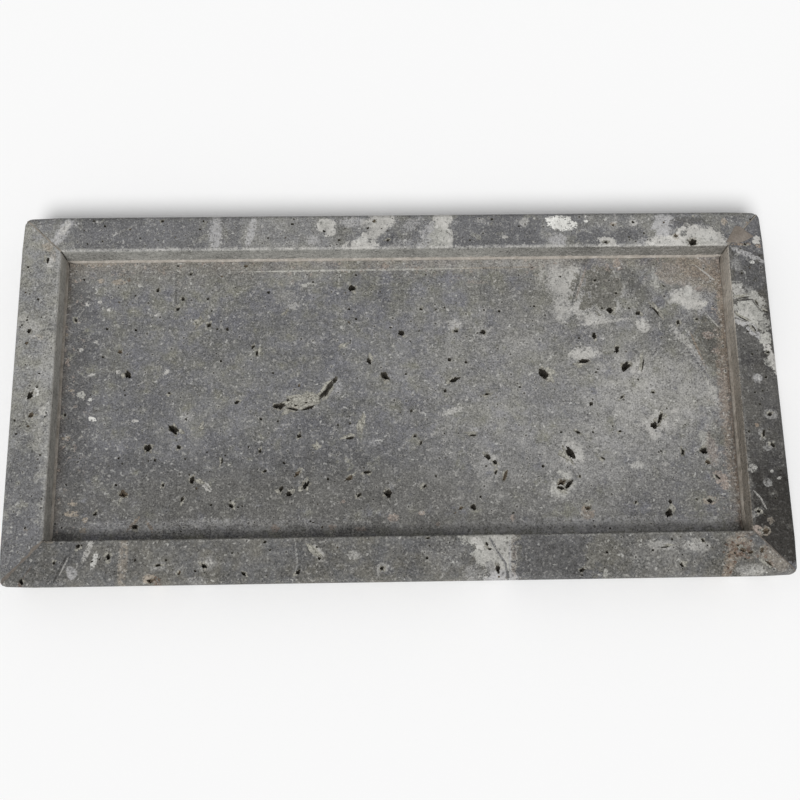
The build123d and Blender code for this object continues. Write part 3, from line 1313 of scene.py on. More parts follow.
# Patches of each stone, as the fields of a Patch
FLOOR_PATCHES = (
    (250, 420, 360, 220, 0, VIOLET, 0.55, 1), (360, 330, 300, 110, 0, VIOLET, 0.4, 1),
    # Painted shade: the second patch darkens the floor in a band along the left wall.
    (120, 400, 110, 230, 0, SLATE, 0.4, 1), (66, 400, 56, 330, 0, SLATE, 0.9, 1),
    # These two darken the floor towards the front, partly the stone's tone and partly painted shade of the
    # light falling off.
    (380, 478, 800, 90, 0, SLATE, 0.8, 1), (380, 490, 800, 76, 0, DARK, 0.45, 1),
    # Painted light: these two and the first on the next line lighten the floor just inside the front wall,
    # against the wall's shadow.
    (190, 527, 330, 15, 0, LILAC, 0.65, 1), (600, 525, 330, 15, 0, LILAC, 0.75, 1),
    (400, 526, 200, 14, 0, ASH, 0.5, 1), (525, 262, 90, 14, 0, PALE, 0.6, 1),
    # Painted shade: the first patch darkens the floor along the left wall.
    (72, 400, 30, 330, 0, DARK, 0.45, 1), (380, 502, 800, 44, 0, DARK, 0.2, 1),
    # The first darkens the floor towards the front, partly the stone's tone and partly painted shade.
    (330, 500, 480, 60, 0, OLIVE, 0.3, 1), (180, 274, 280, 40, 0, ASH, 0.5, 1),
    (180, 272, 260, 30, 0, OLIVE, 0.4, 0.9), (450, 264, 220, 16, 0, ASH, 0.6, 0.9),
    (84, 320, 44, 80, 0, SLATE, 0.4, 0.9), (93, 263, 62, 8, 1, TAN, 0.7), (101, 281, 8, 5, 0, TAN),
    (119, 282, 14, 6, 5, TAN), (129, 280, 4, 4, 0, BROWN), (74, 281, 5, 4, 0, TAN), (68, 289, 6, 6, 0, TAN),
    (66, 335, 6, 4, 0, TAN), (176, 286, 52, 3.4, 90, DARK, 0.7, 0.7),
    (174, 286, 50, 2.4, 90, ASH, 0.5, 0.7), (360, 270, 260, 2.2, 0.35, CREAM),
    (500, 267.5, 90, 2.2, 0.4, TAN, 0.7), (306, 285, 16, 4, 12, CREAM), (385, 266, 9, 8, 0, PINK),
    (418, 268, 10, 4, 0, PINK, 0.7), (476, 282, 20, 4, 0, PINK, 0.6), (287, 298, 26, 18, 0, ASH, 0.6, 0.9),
    (294, 306, 12, 8, 0, PALE, 0.5, 0.9), (334, 385, 14, 20, 30, LILAC, 0.5, 0.9),
    (303, 400, 54, 28, 14, ASH, 0.6, 0.9), (455, 325, 16, 12, 0, PALE, 0.6, 0.9),
    (483, 332, 15, 13, 0, PALE, 0.6, 0.7), (512, 345, 60, 30, 10, ASH, 0.6, 0.9),
    (520, 343, 22, 12, 0, PALE, 0.4, 0.9), (580, 385, 330, 260, 0, ASH, 0.55, 1),
    (610, 440, 170, 90, 10, ASH, 0.45, 1), (520, 300, 90, 80, 0, OLIVE, 0.3, 1),
    (660, 390, 120, 80, 0, PALE, 0.3, 1), (560, 278, 44, 36, 10, PALE, 0.75, 1),
    (566, 300, 24, 46, -15, PALE, 0.7, 1), (594, 291, 56, 68, -12, PALE, 0.7, 0.7),
    (598, 287, 48, 60, -12, OLIVE, 0.95, 0.35), (601, 285, 36, 46, -12, DARK, 0.28, 0.7),
    (602, 322, 56, 4, 8, PALE, 0.6, 0.6), (577, 285, 50, 2.6, 72, DARK, 0.6),
    (581, 283, 42, 2.2, 70, PINK, 0.6), (637, 288, 62, 18, -55, DARK, 0.65),
    (664, 322, 36, 14, -45, SLATE, 0.4, 0.6), (617, 264, 8, 13, 0, PINK, 0.9),
    (690, 275, 70, 34, -12, TAN, 0.6, 0.9), (700, 268, 50, 22, -20, ORANGE, 0.45, 0.9),
    (690, 300, 50, 34, -10, LILAC, 0.45, 1), (654, 276, 5, 22, 6, CREAM, 0.6, 0.8),
    (655, 285, 9, 8, 0, CREAM, 0.6), (686, 299, 32, 24, -10, PALE, 0.7, 0.8),
    (684, 297, 20, 17, -30, PALE, 1, 0.6), (697, 304, 22, 13, 15, PALE, 0.9),
    (688, 291, 9, 12, 0, WHITE, 0.4, 0.6), (702, 312, 11, 8, 0, LILAC), (708, 275, 34, 1.8, -42, PALE),
    (714, 322, 28, 1.8, -52, PALE), (643, 325, 13, 16, 20, PALE, 0.9, 0.7),
    (711, 343, 32, 58, 12, OLIVE, 0.95, 0.35), (710, 338, 20, 34, 12, DARK, 0.4, 0.6),
    (698, 350, 2.2, 44, 18, ORANGE, 0.7), (708, 335, 12, 9, 0, PINK, 0.85),
    (715, 350, 9, 5, 35, PINK, 0.85), (699, 289, 8, 6, 0, PINK, 0.7), (684, 340, 44, 8, -52, PALE, 0.7),
    (703, 366, 44, 7, -62, LILAC, 0.3, 0.7), (713, 392, 36, 7, -72, PALE, 0.6, 0.7),
    (697, 362, 50, 3, -58, SLATE, 0.6, 0.6), (723, 305, 12, 90, 0, TAN, 0.9, 0.7),
    (728, 410, 16, 150, 0, ORANGE, 0.5, 0.9), (737, 462, 10, 210, -0.6, DARK, 0.9, 0.7),
    (739, 486, 9, 64, 0, BLACK, 0.45, 0.8), (72, 285, 26, 64, 0, DARK, 0.5, 1),
    (72, 523, 70, 22, 0, DARK, 0.35, 1), (584, 354, 34, 14, 5, PALE, 0.75, 0.8),
    (637, 366, 17, 15, 0, PALE, 0.6, 0.8), (600, 398, 70, 30, 0, ASH, 0.6, 1),
    (545, 400, 60, 40, 0, VIOLET, 0.4, 1), (722, 480, 20, 13, -55, PINK, 0.9),
    (704, 438, 9, 20, 0, CREAM, 0.75), (712, 450, 12, 34, 5, PINK, 0.5, 0.8),
    (710, 500, 14, 9, 0, TAN, 0.7), (562, 484, 28, 22, 20, CREAM, 0.75, 0.8),
    (572, 452, 22, 30, 25, PALE, 0.65, 0.9), (655, 424, 24, 30, -30, PALE, 0.6, 0.9),
    (675, 410, 9, 4, 20, PALE, 0.6), (637, 465, 14, 7, 10, PALE, 0.5, 0.8), (666, 464, 8, 4, 0, PALE, 0.45),
    (588, 512, 13, 16, 0, ORANGE, 0.5), (452, 411, 24, 7, 15, PALE, 0.6, 0.8),
    (375, 442, 12, 8, 0, LILAC, 0.5, 0.8), (475, 430, 8, 6, 0, LILAC, 0.6, 0.8),
    (488, 462, 30, 34, 0, ASH, 0.75, 0.9), (492, 458, 12, 8, 0, PALE, 0.5, 0.9),
    (393, 518, 11, 8, 0, PINK, 0.85), (422, 513, 7, 4, 0, PINK, 0.85), (343, 502, 5, 4, 0, PINK),
    (275, 528, 9, 8, 0, PINK, 0.9), (332, 527, 8, 6, 0, PINK, 0.9), (361, 529, 11, 5, 0, PINK),
    (513, 518, 5, 7, 0, PINK), (438, 525, 5, 6, 0, PINK), (133, 524, 18, 3.4, 50, ORANGE, 0.7),
    (150, 527, 14, 3.4, -55, ORANGE, 0.7), (81, 395, 9, 7, 0, CREAM, 0.9), (72, 391, 6, 3, 0, TAN, 0.9),
    (90, 400, 5, 4, 0, WHITE), (92, 419, 9, 4, -20, WHITE, 0.9), (66, 438, 8, 4, 0, TAN, 0.9),
    (73, 504, 9, 4, 0, TAN, 0.9), (72, 514, 14, 6, 0, TAN, 0.9), (85, 520, 6, 5, 0, TAN, 0.9),
    (83, 531, 7, 6, 0, TAN), (187, 416, 14, 12, 0, ASH, 0.8, 0.8), (207, 487, 12, 6, -50, PALE, 0.7),
    (135, 421, 7, 3, 0, PALE), (88, 304, 6, 4, -40, PALE), (100, 302, 4, 3, 0, PALE),
    (109, 310, 4, 4, 0, PALE), (157, 315, 5, 4, 0, PALE), (96, 342, 4, 4, 0, PALE),
    (81, 350, 5, 4, 0, PALE), (91, 375, 6, 3, 10, PALE), (167, 372, 5, 6, 0, PALE),
    (118, 372, 5, 4, 0, PALE),
)

BACK_PATCHES = (
    (142, 232, 170, 90, 0, SLATE, 0.75), (150, 232, 120, 26, 0, VIOLET, 0.6, 0.9),
    (62, 232, 38, 13, 58, LILAC, 0.8, 0.8), (65, 228, 18, 7, 60, PALE, 0.7, 0.8),
    (125, 230, 34, 2.2, 28, ASH, 0.7), (280, 230, 150, 50, 0, ASH, 0.35, 1),
    (216, 231, 40, 13, 88, LILAC, 0.85, 0.7), (251, 232, 34, 9, 80, LILAC, 0.8, 0.8),
    (234, 232, 34, 12, 85, SLATE, 0.7, 0.7), (312, 240, 14, 12, 0, LILAC, 0.6, 0.8),
    (326, 227, 24, 21, -20, PALE, 0.9, 0.35), (324, 225, 12, 9, 0, CREAM, 0.7, 0.8),
    (360, 246, 38, 15, 8, PALE, 0.95), (377, 224, 44, 24, 50, PALE, 0.9),
    (352, 222, 26, 12, 0, LILAC, 0.7, 0.8), (384, 220, 24, 18, 0, PALE, 0.9, 0.6),
    (362, 240, 16, 8, 0, WHITE, 0.4, 0.9), (367, 227, 12, 12, 0, ASH, 0.7, 0.9),
    (389, 240, 20, 12, 35, SLATE, 0.95, 0.4), (408, 232, 26, 36, -20, SLATE, 0.5, 0.8),
    (412, 224, 26, 12, 35, LILAC, 0.6, 0.8), (402, 243, 22, 9, 10, LILAC, 0.5, 0.8),
    (439, 236, 26, 34, 0, CREAM, 0.9, 0.3), (443, 219, 20, 22, 20, PALE, 0.9, 0.4),
    (428, 230, 22, 9, 48, LILAC, 0.9, 0.6), (424, 243, 20, 10, 30, LILAC, 0.7, 0.7),
    (450, 238, 6, 22, 0, PALE, 0.8, 0.7), (500, 233, 94, 80, 0, SLATE, 0.9, 0.2),
    (480, 220, 12, 6, 0, ASH, 0.8, 0.8), (524, 222, 10, 10, 0, PALE, 0.5, 0.9), (505, 237, 6, 4, 0, PALE),
    (562, 223, 32, 17, -8, WHITE, 1, 0.3), (551, 219, 12, 7, 0, WHITE, 0.9, 0.3),
    (558, 241, 18, 18, 0, LILAC, 0.9, 0.8), (549, 246, 14, 10, 0, ASH, 0.7, 0.8),
    (614, 237, 80, 26, 0, SLATE, 0.8, 0.4), (600, 220, 40, 18, 0, ASH, 0.4, 0.9),
    (586, 217, 4, 3, 0, WHITE, 1), (586, 221, 4, 3, 0, WHITE, 1), (613, 225, 13, 12, 0, ASH, 0.9, 0.8),
    (613, 224, 7, 5, 0, TAN, 0.7), (633, 223, 18, 14, 0, ASH, 0.8, 0.9), (633, 222, 9, 8, 0, PALE),
    (608, 244, 22, 17, -20, PALE, 0.95), (605, 243, 9, 8, 0, WHITE, 0.5, 0.8),
    (608, 250, 16, 5, 0, TAN, 0.7), (643, 242, 14, 9, 0, LILAC, 0.5, 0.8),
    (664, 226, 30, 30, 0, LILAC, 0.95, 0.4), (668, 242, 44, 16, 0, PALE, 0.9),
    (700, 238, 52, 34, -10, PALE, 0.95, 0.3), (712, 246, 30, 14, 0, CREAM, 0.9),
    (706, 236, 26, 14, -10, WHITE, 0.35, 0.6), (688, 221, 36, 12, 5, DARK, 0.8, 0.35),
    (676, 225, 16, 8, 20, SLATE, 0.9), (703, 225, 16, 7, -20, SLATE, 0.8, 0.6),
    (694, 243, 24, 16, 0, CREAM, 0.8, 0.7), (693, 241, 10, 8, 0, TAN, 0.6), (676, 236, 8, 7, 0, TAN, 0.6),
    (725, 228, 9, 26, 0, SLATE), (724, 222, 7, 9, 0, TAN, 0.9), (736, 219, 20, 8, 0, SLATE, 0.7, 0.7),
    (751, 224, 12, 7, 0, ORANGE, 0.9), (733, 244, 16, 3, 0, ORANGE, 0.9), (755, 219, 10, 7, 0, PALE, 0.9),
    (753, 232, 8, 5, 0, BROWN, 0.7),
)

RIGHT_PATCHES = (
    (750, 236, 60, 70, 0, SLATE, 0.85, 0.9), (748, 275, 40, 30, 0, SLATE, 0.5, 0.9),
    (775, 525, 100, 130, 5, BLACK, 1, 0.9), (794, 567, 12, 12, 0, SLATE, 0.9, 0.6),
    (760, 410, 60, 110, 5, DARK, 0.5, 1), (775, 520, 44, 64, 5, BLACK, 0.7, 0.9),
    (749, 255, 40, 6, -26, LILAC, 0.9, 0.7), (758, 251, 26, 4, -24, SLATE, 0.6, 0.6),
    (752, 262, 5, 4, 0, WHITE, 0.95), (736, 264, 12, 14, 0, ASH, 0.6, 0.9),
    (757, 240, 9, 10, 0, PALE, 0.95), (742, 244, 20, 3, 0, ORANGE, 0.9), (758, 246, 6, 5, 0, ORANGE, 0.9),
    (738, 291, 16, 20, 0, PALE, 0.75, 0.8), (752, 293, 22, 10, -50, ASH, 0.8, 0.7),
    (748, 313, 38, 28, -8, CREAM, 0.85, 0.4), (760, 322, 26, 18, -40, CREAM, 0.6, 0.4),
    (757, 301, 24, 16, -50, CREAM), (744, 315, 20, 12, 0, PALE, 0.6, 0.9),
    (744, 343, 34, 34, 0, DARK, 0.95, 0.3), (757, 345, 20, 22, -30, DARK, 0.9, 0.35),
    (742, 322, 28, 7, -25, LILAC, 0.9, 0.6), (755, 333, 26, 7, -42, LILAC, 0.9, 0.6),
    (765, 338, 14, 16, 0, CREAM, 0.9), (768, 349, 8, 16, 10, PALE, 0.9, 0.6),
    (774, 362, 28, 10, -75, PALE, 0.95), (769, 362, 10, 8, -30, CREAM, 0.7, 0.8),
    (765, 354, 10, 7, 0, BLACK), (745, 300, 20, 1.8, 5, BLACK), (757, 306, 16, 1.8, -55, BLACK, 0.7),
    (766, 312, 12, 1.8, -15, BLACK, 0.7), (739, 319, 20, 1.8, -22, BLACK, 0.7),
    (752, 329, 18, 1.8, -50, BLACK, 0.6), (758, 378, 10, 10, 0, LILAC, 0.7, 0.8),
    (771, 414, 14, 10, 0, ASH, 0.8, 0.8), (757, 425, 4, 4, 0, ORANGE), (762, 434, 6, 13, 0, ASH),
    (768, 446, 10, 9, 0, ASH, 0.85), (753, 468, 9, 8, 20, PALE, 0.65, 0.7),
    (745, 478, 6, 18, 0, ORANGE, 0.7), (768, 483, 9, 9, 0, ASH, 0.9), (758, 495, 14, 2, -50, PALE, 0.45),
    (764, 504, 12, 2, -65, PALE, 0.45), (757, 512, 14, 7, 25, ASH, 0.7, 0.8), (771, 520, 7, 8, 0, TAN, 0.4),
    (764, 531, 14, 10, 0, TAN, 0.6), (757, 530, 12, 10, 0, PINK, 0.95, 0.4), (780, 478, 4, 3, 0, PALE),
    (772, 471, 4, 3, 0, PALE),
)

FRONT_PATCHES = (
    (70, 560, 110, 60, 0, DARK, 0.25, 1), (150, 560, 60, 50, 0, OLIVE, 0.35, 1),
    (88, 550, 28, 5, 68, PALE, 0.6, 0.9), (94, 561, 16, 5, 75, WHITE, 0.7, 0.9),
    (100, 557, 24, 3, 80, DARK, 0.5, 0.8), (72, 573, 10, 14, 20, LILAC, 0.7, 0.8),
    (60, 569, 30, 2.6, 66, BLACK, 0.55), (26, 574, 20, 1.8, 58, BROWN, 0.5),
    (64, 566, 20, 1.8, 66, PALE, 0.5), (123, 561, 50, 9, 88, TAN, 0.55, 0.9),
    (136, 552, 34, 16, 85, DARK, 0.45, 0.9), (149, 579, 12, 10, 0, TAN, 0.9),
    (157, 582, 8, 10, 0, BROWN, 0.9), (20, 584, 5, 8, 0, BROWN), (49, 541, 10, 5, 0, TAN, 0.7),
    (159, 566, 18, 10, 0, ASH, 0.5, 0.9), (206, 564, 22, 14, 0, ASH, 0.6, 0.9), (210, 563, 8, 6, 0, PALE),
    (178, 570, 9, 12, 0, ASH, 0.6, 0.9), (198, 581, 18, 9, 0, ASH, 0.7, 0.9),
    (250, 560, 90, 40, 0, DARK, 0.1, 1), (296, 552, 28, 1.8, 96, ASH), (295, 573, 18, 1.8, 75, ASH),
    (317, 552, 22, 9, 130, PALE, 0.8, 0.8), (355, 555, 12, 9, 0, PALE, 0.5, 0.9),
    (410, 545, 70, 20, 0, SLATE, 0.3, 1), (444, 556, 40, 34, 0, ASH, 0.4, 0.9),
    (382, 568, 12, 10, 0, PALE, 0.5, 0.8), (474, 573, 20, 16, 0, ASH, 0.8, 0.9),
    (488, 538, 54, 18, 0, CREAM, 0.95, 0.25), (492, 550, 42, 24, 0, CREAM, 0.95, 0.3),
    (499, 565, 38, 22, 0, CREAM, 0.95, 0.3), (501, 580, 34, 20, 0, LILAC, 0.95, 0.3),
    (498, 553, 36, 34, 0, PALE, 0.35, 0.9), (478, 543, 18, 9, -50, PALE, 0.8, 0.7),
    (500, 540, 12, 22, 20, PALE, 0.6, 0.9), (494, 545, 20, 2.6, -62, SLATE),
    (502, 558, 18, 2.6, -58, SLATE), (507, 572, 18, 2.6, -80, SLATE), (490, 567, 9, 13, 0, ASH, 0.85, 0.7),
    (514, 556, 46, 5, 88, PINK, 0.4, 0.8), (510, 560, 40, 2.6, 88, LILAC, 0.7, 0.8),
    (562, 556, 90, 90, 0, SLATE, 0.95, 0.18), (560, 556, 80, 60, 0, DARK, 0.65, 1),
    (604, 550, 34, 44, -30, OLIVE, 0.8, 0.6), (640, 562, 70, 40, 0, OLIVE, 0.4, 1),
    (665, 552, 80, 34, 0, ASH, 0.4, 1), (697, 545, 26, 14, 0, PALE, 0.5, 0.9),
    (660, 545, 26, 10, 0, PALE, 0.4, 0.9), (731, 560, 44, 12, 68, TAN, 0.75, 0.8),
    (742, 548, 30, 22, -20, TAN, 0.6, 0.9), (730, 563, 40, 8, 68, ORANGE, 0.6, 0.9),
    (741, 549, 22, 14, 0, RUST, 0.7, 0.9), (764, 549, 8, 7, 0, RUST, 0.6),
    (770, 563, 12, 5, -40, RUST, 0.6), (752, 570, 30, 11, 0, PALE, 0.55, 0.8),
    (752, 570, 12, 5, 0, WHITE, 0.2, 0.9), (745, 532, 20, 10, 0, ORANGE, 0.4),
    (606, 573, 5, 8, 0, CREAM, 0.7), (775, 558, 30, 20, -40, TAN, 0.5, 0.9), (727, 545, 3.4, 3, 0, RUST),
    (733, 541, 3, 4, 0, RUST), (729, 556, 3, 3, 0, RUST), (735, 562, 4, 3, 40, RUST),
    (728, 567, 3, 4, 0, RUST), (733, 549, 3, 3, 0, BROWN), (739, 538, 4, 3, 30, RUST),
    (737, 556, 3, 3, 0, BROWN), (724, 552, 3, 2.6, 0, BROWN), (731, 572, 3, 3, 0, RUST),
    (748, 557, 4, 3, 0, RUST), (757, 556, 3.4, 3, 0, BROWN), (766, 556, 4, 3, 50, RUST),
    (751, 540, 3, 3, 0, RUST),
)

LEFT_PATCHES = (
    (47, 247, 12, 9, 0, TAN, 0.6, 0.8), (38, 337, 11, 7, 0, TAN, 0.5, 0.8), (43, 411, 9, 9, 0, CREAM, 0.9),
    (35, 392, 8, 9, 0, WHITE, 0.6, 0.8), (8, 554, 26, 3, 63, BROWN), (46, 390, 16, 260, 0, PALE, 0.2, 1),
    (34, 516, 60, 60, 0, SLATE, 0.5, 1), (25, 531, 6, 9, 0, ORANGE, 0.5),
    (22, 548, 60, 60, 0, SLATE, 0.9, 0.9), (37, 507, 8, 7, 0, CREAM, 0.5),
    (52, 252, 20, 6, -70, TAN, 0.4, 0.9), (24, 488, 40, 90, 0, SLATE, 0.75, 0.9),
    (30, 325, 26, 22, 0, PALE, 0.4, 1), (50, 262, 9, 12, 0, PALE, 0.6, 0.8),
)


@dataclass(kw_only=True)
class Piece:
    """A piece of the tray.

    Attributes:
        node: The CAD node that it stands for.
        material: What it is made of.
        ending: What its name adds to the node's.
        slot: The record's material slot.
        crease: The least angle between faces, in degrees, that shows as a sharp edge.
        cutter: What is cut out of it, if anything.
    """

    node: str
    material: Material
    ending: str
    slot: str = "filler"
    crease: float = 38.0
    cutter: Cutter | None = None

    def blank(self) -> Mesh:
        """Return the piece before anything is cut out of it."""
        raise NotImplementedError

    def build(self) -> Thing:
        """Build the piece.

        Returns:
            The finished piece.
        """
        piece = to_object(self.node + self.ending, self.blank(), [self.material])
        if self.cutter:
            self.cutter.cut(piece)
        finish_piece(piece, self.slot, self.node, crease=self.crease)
        return piece


@dataclass(kw_only=True)
class StoneBlock(Piece):
    """A block of travertine, sawn from a slab, with its pits cut open.

    Attributes:
        lining: The material of its pits.
        seed: Starts its own random draws, and moves its wear.
        worn: How far all its faces are worn.
        hollow: How much farther they are worn in the middle of their hollows.
        wave: Size of the hollows.
        nick: Size of the nicks in its edges.
        chip: Size of the larger chips in them.
        nick_depth: How deep the nicks are.
        smallest: The least length of a strewn pit.
        largest: How much longer the longest is.
        dirty_share: The share of them with the dark lining of grime and painted shade.
        slimmest: The least width of a pit, as a share of its length.
        roundest: The greatest.
        rarity: How much rarer longer pits are.
    """

    lining: Material
    seed: int
    ending: str = "_stone"
    worn: float = 0.04
    hollow: float = 0.1
    wave: float = 45.0
    nick: float = 3.5
    chip: float = 11.0
    nick_depth: float = 0.9
    smallest: float = 0.6
    largest: float = 1.8
    dirty_share: float = 0.8
    slimmest: float = 0.55
    roundest: float = 0.95
    rarity: float = 3.2

    # The values of the noise from which an edge is nicked and chipped, how sharply an edge is told, and how
    # deep a strewn pit is for its width
    NICK_FROM, CHIP_FROM, EDGE_GAIN, DEPTH = 0.12, 0.2, 4.0, 0.9

    def __post_init__(self) -> None:
        """Start the block's random draws and its cutter."""
        self.draw = random.Random(self.seed)
        self.cutter = Cutter(self.lining, self.draw)

    def sawn(self) -> Mesh:
        """Return the block as it is sawn."""
        raise NotImplementedError

    def faces(self) -> list[tuple]:
        """Return what pits are strewn on: for each face their number, its two corners and its direction."""
        raise NotImplementedError

    def blank(self) -> Mesh:
        """Wear the sawn block: hollow its faces slightly and nick its edges, always inwards.

        Returns:
            The worn block.
        """
        block = self.sawn()
        block.normal_update()
        drift = Vector((31.0, 17.0, 7.0)) * self.seed
        moves = []
        for vert in block.verts:
            spot = vert.co + drift
            hollow = self.worn + self.hollow * (0.5 + 0.5 * noise.noise(spot / self.wave))
            edge = min(1.0, self.EDGE_GAIN * (1.0 - max(abs(part) for part in vert.normal)))
            nick = max(0.0, noise.noise(spot / self.nick) - self.NICK_FROM)
            nick += max(0.0, noise.noise(spot / self.chip) - self.CHIP_FROM)
            moves.append(vert.normal * -(hollow + edge * nick * self.nick_depth))
        for vert, move in zip(block.verts, moves):
            vert.co += move
        return block

    def strew(self) -> None:
        """Strew small pits over the faces at random."""
        for number, low, high, outward in self.faces():
            for _ in range(number):
                mouth = Vector(self.draw.uniform(near, far) for near, far in zip(low, high))
                if abs(outward.z) < 0.5:
                    mouth -= outward * TRAY.inset(mouth.z)
                across = outward.orthogonal().normalized()
                along = Matrix.Rotation(self.draw.uniform(0, pi), 3, outward) @ across
                long = self.smallest + min(self.largest, self.draw.expovariate(self.rarity))
                wide = long * self.draw.uniform(self.slimmest, self.roundest)
                lining = DIRTY if self.draw.random() < self.dirty_share else FILLED
                self.cutter.add_pit(Pit(mouth, outward, along, long, wide, wide * self.DEPTH, lining))

    def build(self) -> Thing:
        """Strew its pits, then build the block."""
        self.strew()
        return super().build()


@dataclass(kw_only=True)
class FloorSlab(StoneBlock):
    """The floor slab, let in between the rim strips.

    Attributes:
        grid: Size of its mesh in plan.
        storey: Its size in height.
        above: How many pits are strewn over its top.
        below: How many over its underside.
        margin: How far they stay from its edges.
        right_margin: How far they stay from the edge that runs at a slant.
    """

    grid: float = 2.6
    storey: float = 3.4
    above: int = 260
    below: int = 160
    margin: float = 2.0
    right_margin: float = 3.0

    # The crystal cavity's parts: middle, length and width in pixels, turn, depth, lining and fineness
    CAVITY = (
        (300, 402, 44, 22, 14, 0.5, CRYSTAL, 5), (301, 401, 30, 12, 10, 1.0, CRYSTAL, 5),
        (316, 399, 12, 9, 20, 0.9, CRYSTAL, 4), (325, 391, 26, 12, 54, 0.5, CRYSTAL, 4),
        (326, 391, 24, 5.5, 54, 1.4, DIRTY, 4), (335, 380, 8, 5, 60, 1.2, DIRTY, 3),
        (281, 406, 10, 6, 20, 1.8, DIRTY, 4), (293, 409, 14, 2.6, -14, 1.6, DIRTY, 3),
        (308, 408, 16, 3.0, 20, 1.6, DIRTY, 3), (288, 400, 4, 3, 0, 1.2, DIRTY, 2),
        (296, 405, 4, 3, 40, 1.2, DIRTY, 2), (306, 402, 3.4, 2.6, 0, 1.2, DIRTY, 2),
    )

    def sawn(self) -> Mesh:
        """Saw the slab, whose right edge follows the slant of the right wall.

        Returns:
            The sawn slab.
        """
        low, high = node_box(self.node)
        block = box_block(low, high)
        taper = TRAY.walls[2].x - TRAY.walls[1].x
        for vert in block.verts:
            if vert.co.x > 0 and vert.co.y < 0:
                vert.co.x -= taper
        for across, step in ((UP, self.storey), (Y, self.grid), (X, self.grid)):
            score(block, across, low.dot(across), high.dot(across), step)
        return block

    def faces(self) -> list[tuple]:
        """List the top and the underside.

        Returns:
            What pits are strewn on.
        """
        low, high = node_box(self.node)
        near = (low.x + self.margin, low.y + self.margin)
        far = (high.x - self.right_margin, high.y - self.margin)
        return [
            (number, (*near, level), (*far, level), outward)
            for number, level, outward in ((self.above, high.z, UP), (self.below, low.z, -UP))
        ]

    def read_off(self) -> None:
        """Add the pits of the reference view, and the cavity of pale crystals with its dark slot."""
        seen = SeenPits(TRAY.floor)
        for pit in seen.read(FLOOR_PITS, self.draw):
            self.cutter.add_pit(pit)
        for *row, deep, lining, fineness in self.CAVITY:
            self.cutter.add_pit(seen.pit(row, deep, lining, fineness=fineness))


@dataclass(kw_only=True)
class RimStrip(StoneBlock):
    """A rim strip with mitred ends.

    Attributes:
        side: The side of the tray that it is on.
        row: Size of its mesh along the strip.
        column: Its size across the strip and in height.
        inner_edge: Radius of its edge towards the floor.
        mitre_joint: Width of the joint at its ends.
        end_margin: How far its strewn pits stay from its ends.
        margin: How far they stay from its long edges.
        pit_spacing: The length of strip for each of them, on each face.
    """

    side: Side
    row: float = 2.0
    column: float = 1.9
    inner_edge: float = 1.2
    mitre_joint: float = 0.5
    end_margin: float = 22.0
    margin: float = 2.5
    pit_spacing: float = 6.0

    # How far the strewn pits of its outer face stay from its upper and lower edges
    FACE_MARGIN = 2.0

    def sawn(self) -> Mesh:
        """Saw the strip, round its inner edge and wear its outer corners.

        Returns:
            The sawn strip.
        """
        block = TRAY.rounded_block()
        start, _, along, inward = TRAY.wall(self.side)
        cut_off(block, start, inward)
        for corner, away in ((self.side.number, -1.0), ((self.side.number + 1) % len(Side), 1.0)):
            outward = UP.cross((TRAY.walls[corner] - TRAY.corners[corner]).normalized())
            if outward.dot(along) * away < 0:
                outward = -outward
            cut_off(block, TRAY.corners[corner] - outward * self.mitre_joint / 2, outward)
        arris = edges_where(
            block, lambda spot: abs(spot.z - TRAY.rim) < NEAR and abs((spot - start).dot(inward)) < NEAR
        )
        bevel(block, arris, self.inner_edge, 4)
        low, high = node_box(self.node)
        across, length = (X, Y) if abs(along.y) > 0.5 else (Y, X)
        score(block, UP, TRAY.base, TRAY.rim, self.column)
        score(block, across, low.dot(across), high.dot(across), self.column)
        score(block, length, low.dot(length), high.dot(length), self.row)
        TRAY.wear_corners(block)
        return block

    def faces(self) -> list[tuple]:
        """List the top, the underside and the outer face.

        Returns:
            What pits are strewn on.
        """
        low, high = node_box(self.node)
        inward = Vector(self.side.value)
        inset = Vector([self.margin if abs(part) > 0.5 else self.end_margin for part in inward.xy] + [0.0])
        near, far = low + inset, high - inset
        number = round(max(high.x - low.x, high.y - low.y) / self.pit_spacing)
        outer_near, outer_far = near.copy(), far.copy()
        for axis in range(2):
            if abs(inward[axis]) > 0.5:
                outer_near[axis] = outer_far[axis] = (low if inward[axis] > 0.0 else high)[axis]
        outer_near.z, outer_far.z = TRAY.base + self.FACE_MARGIN, TRAY.rim - self.FACE_MARGIN
        return [
            (number, (*near.xy, TRAY.rim), (*far.xy, TRAY.rim), UP),
            (number, (*near.xy, TRAY.base), (*far.xy, TRAY.base), -UP),
            (number, tuple(outer_near), tuple(outer_far), -inward),
        ]


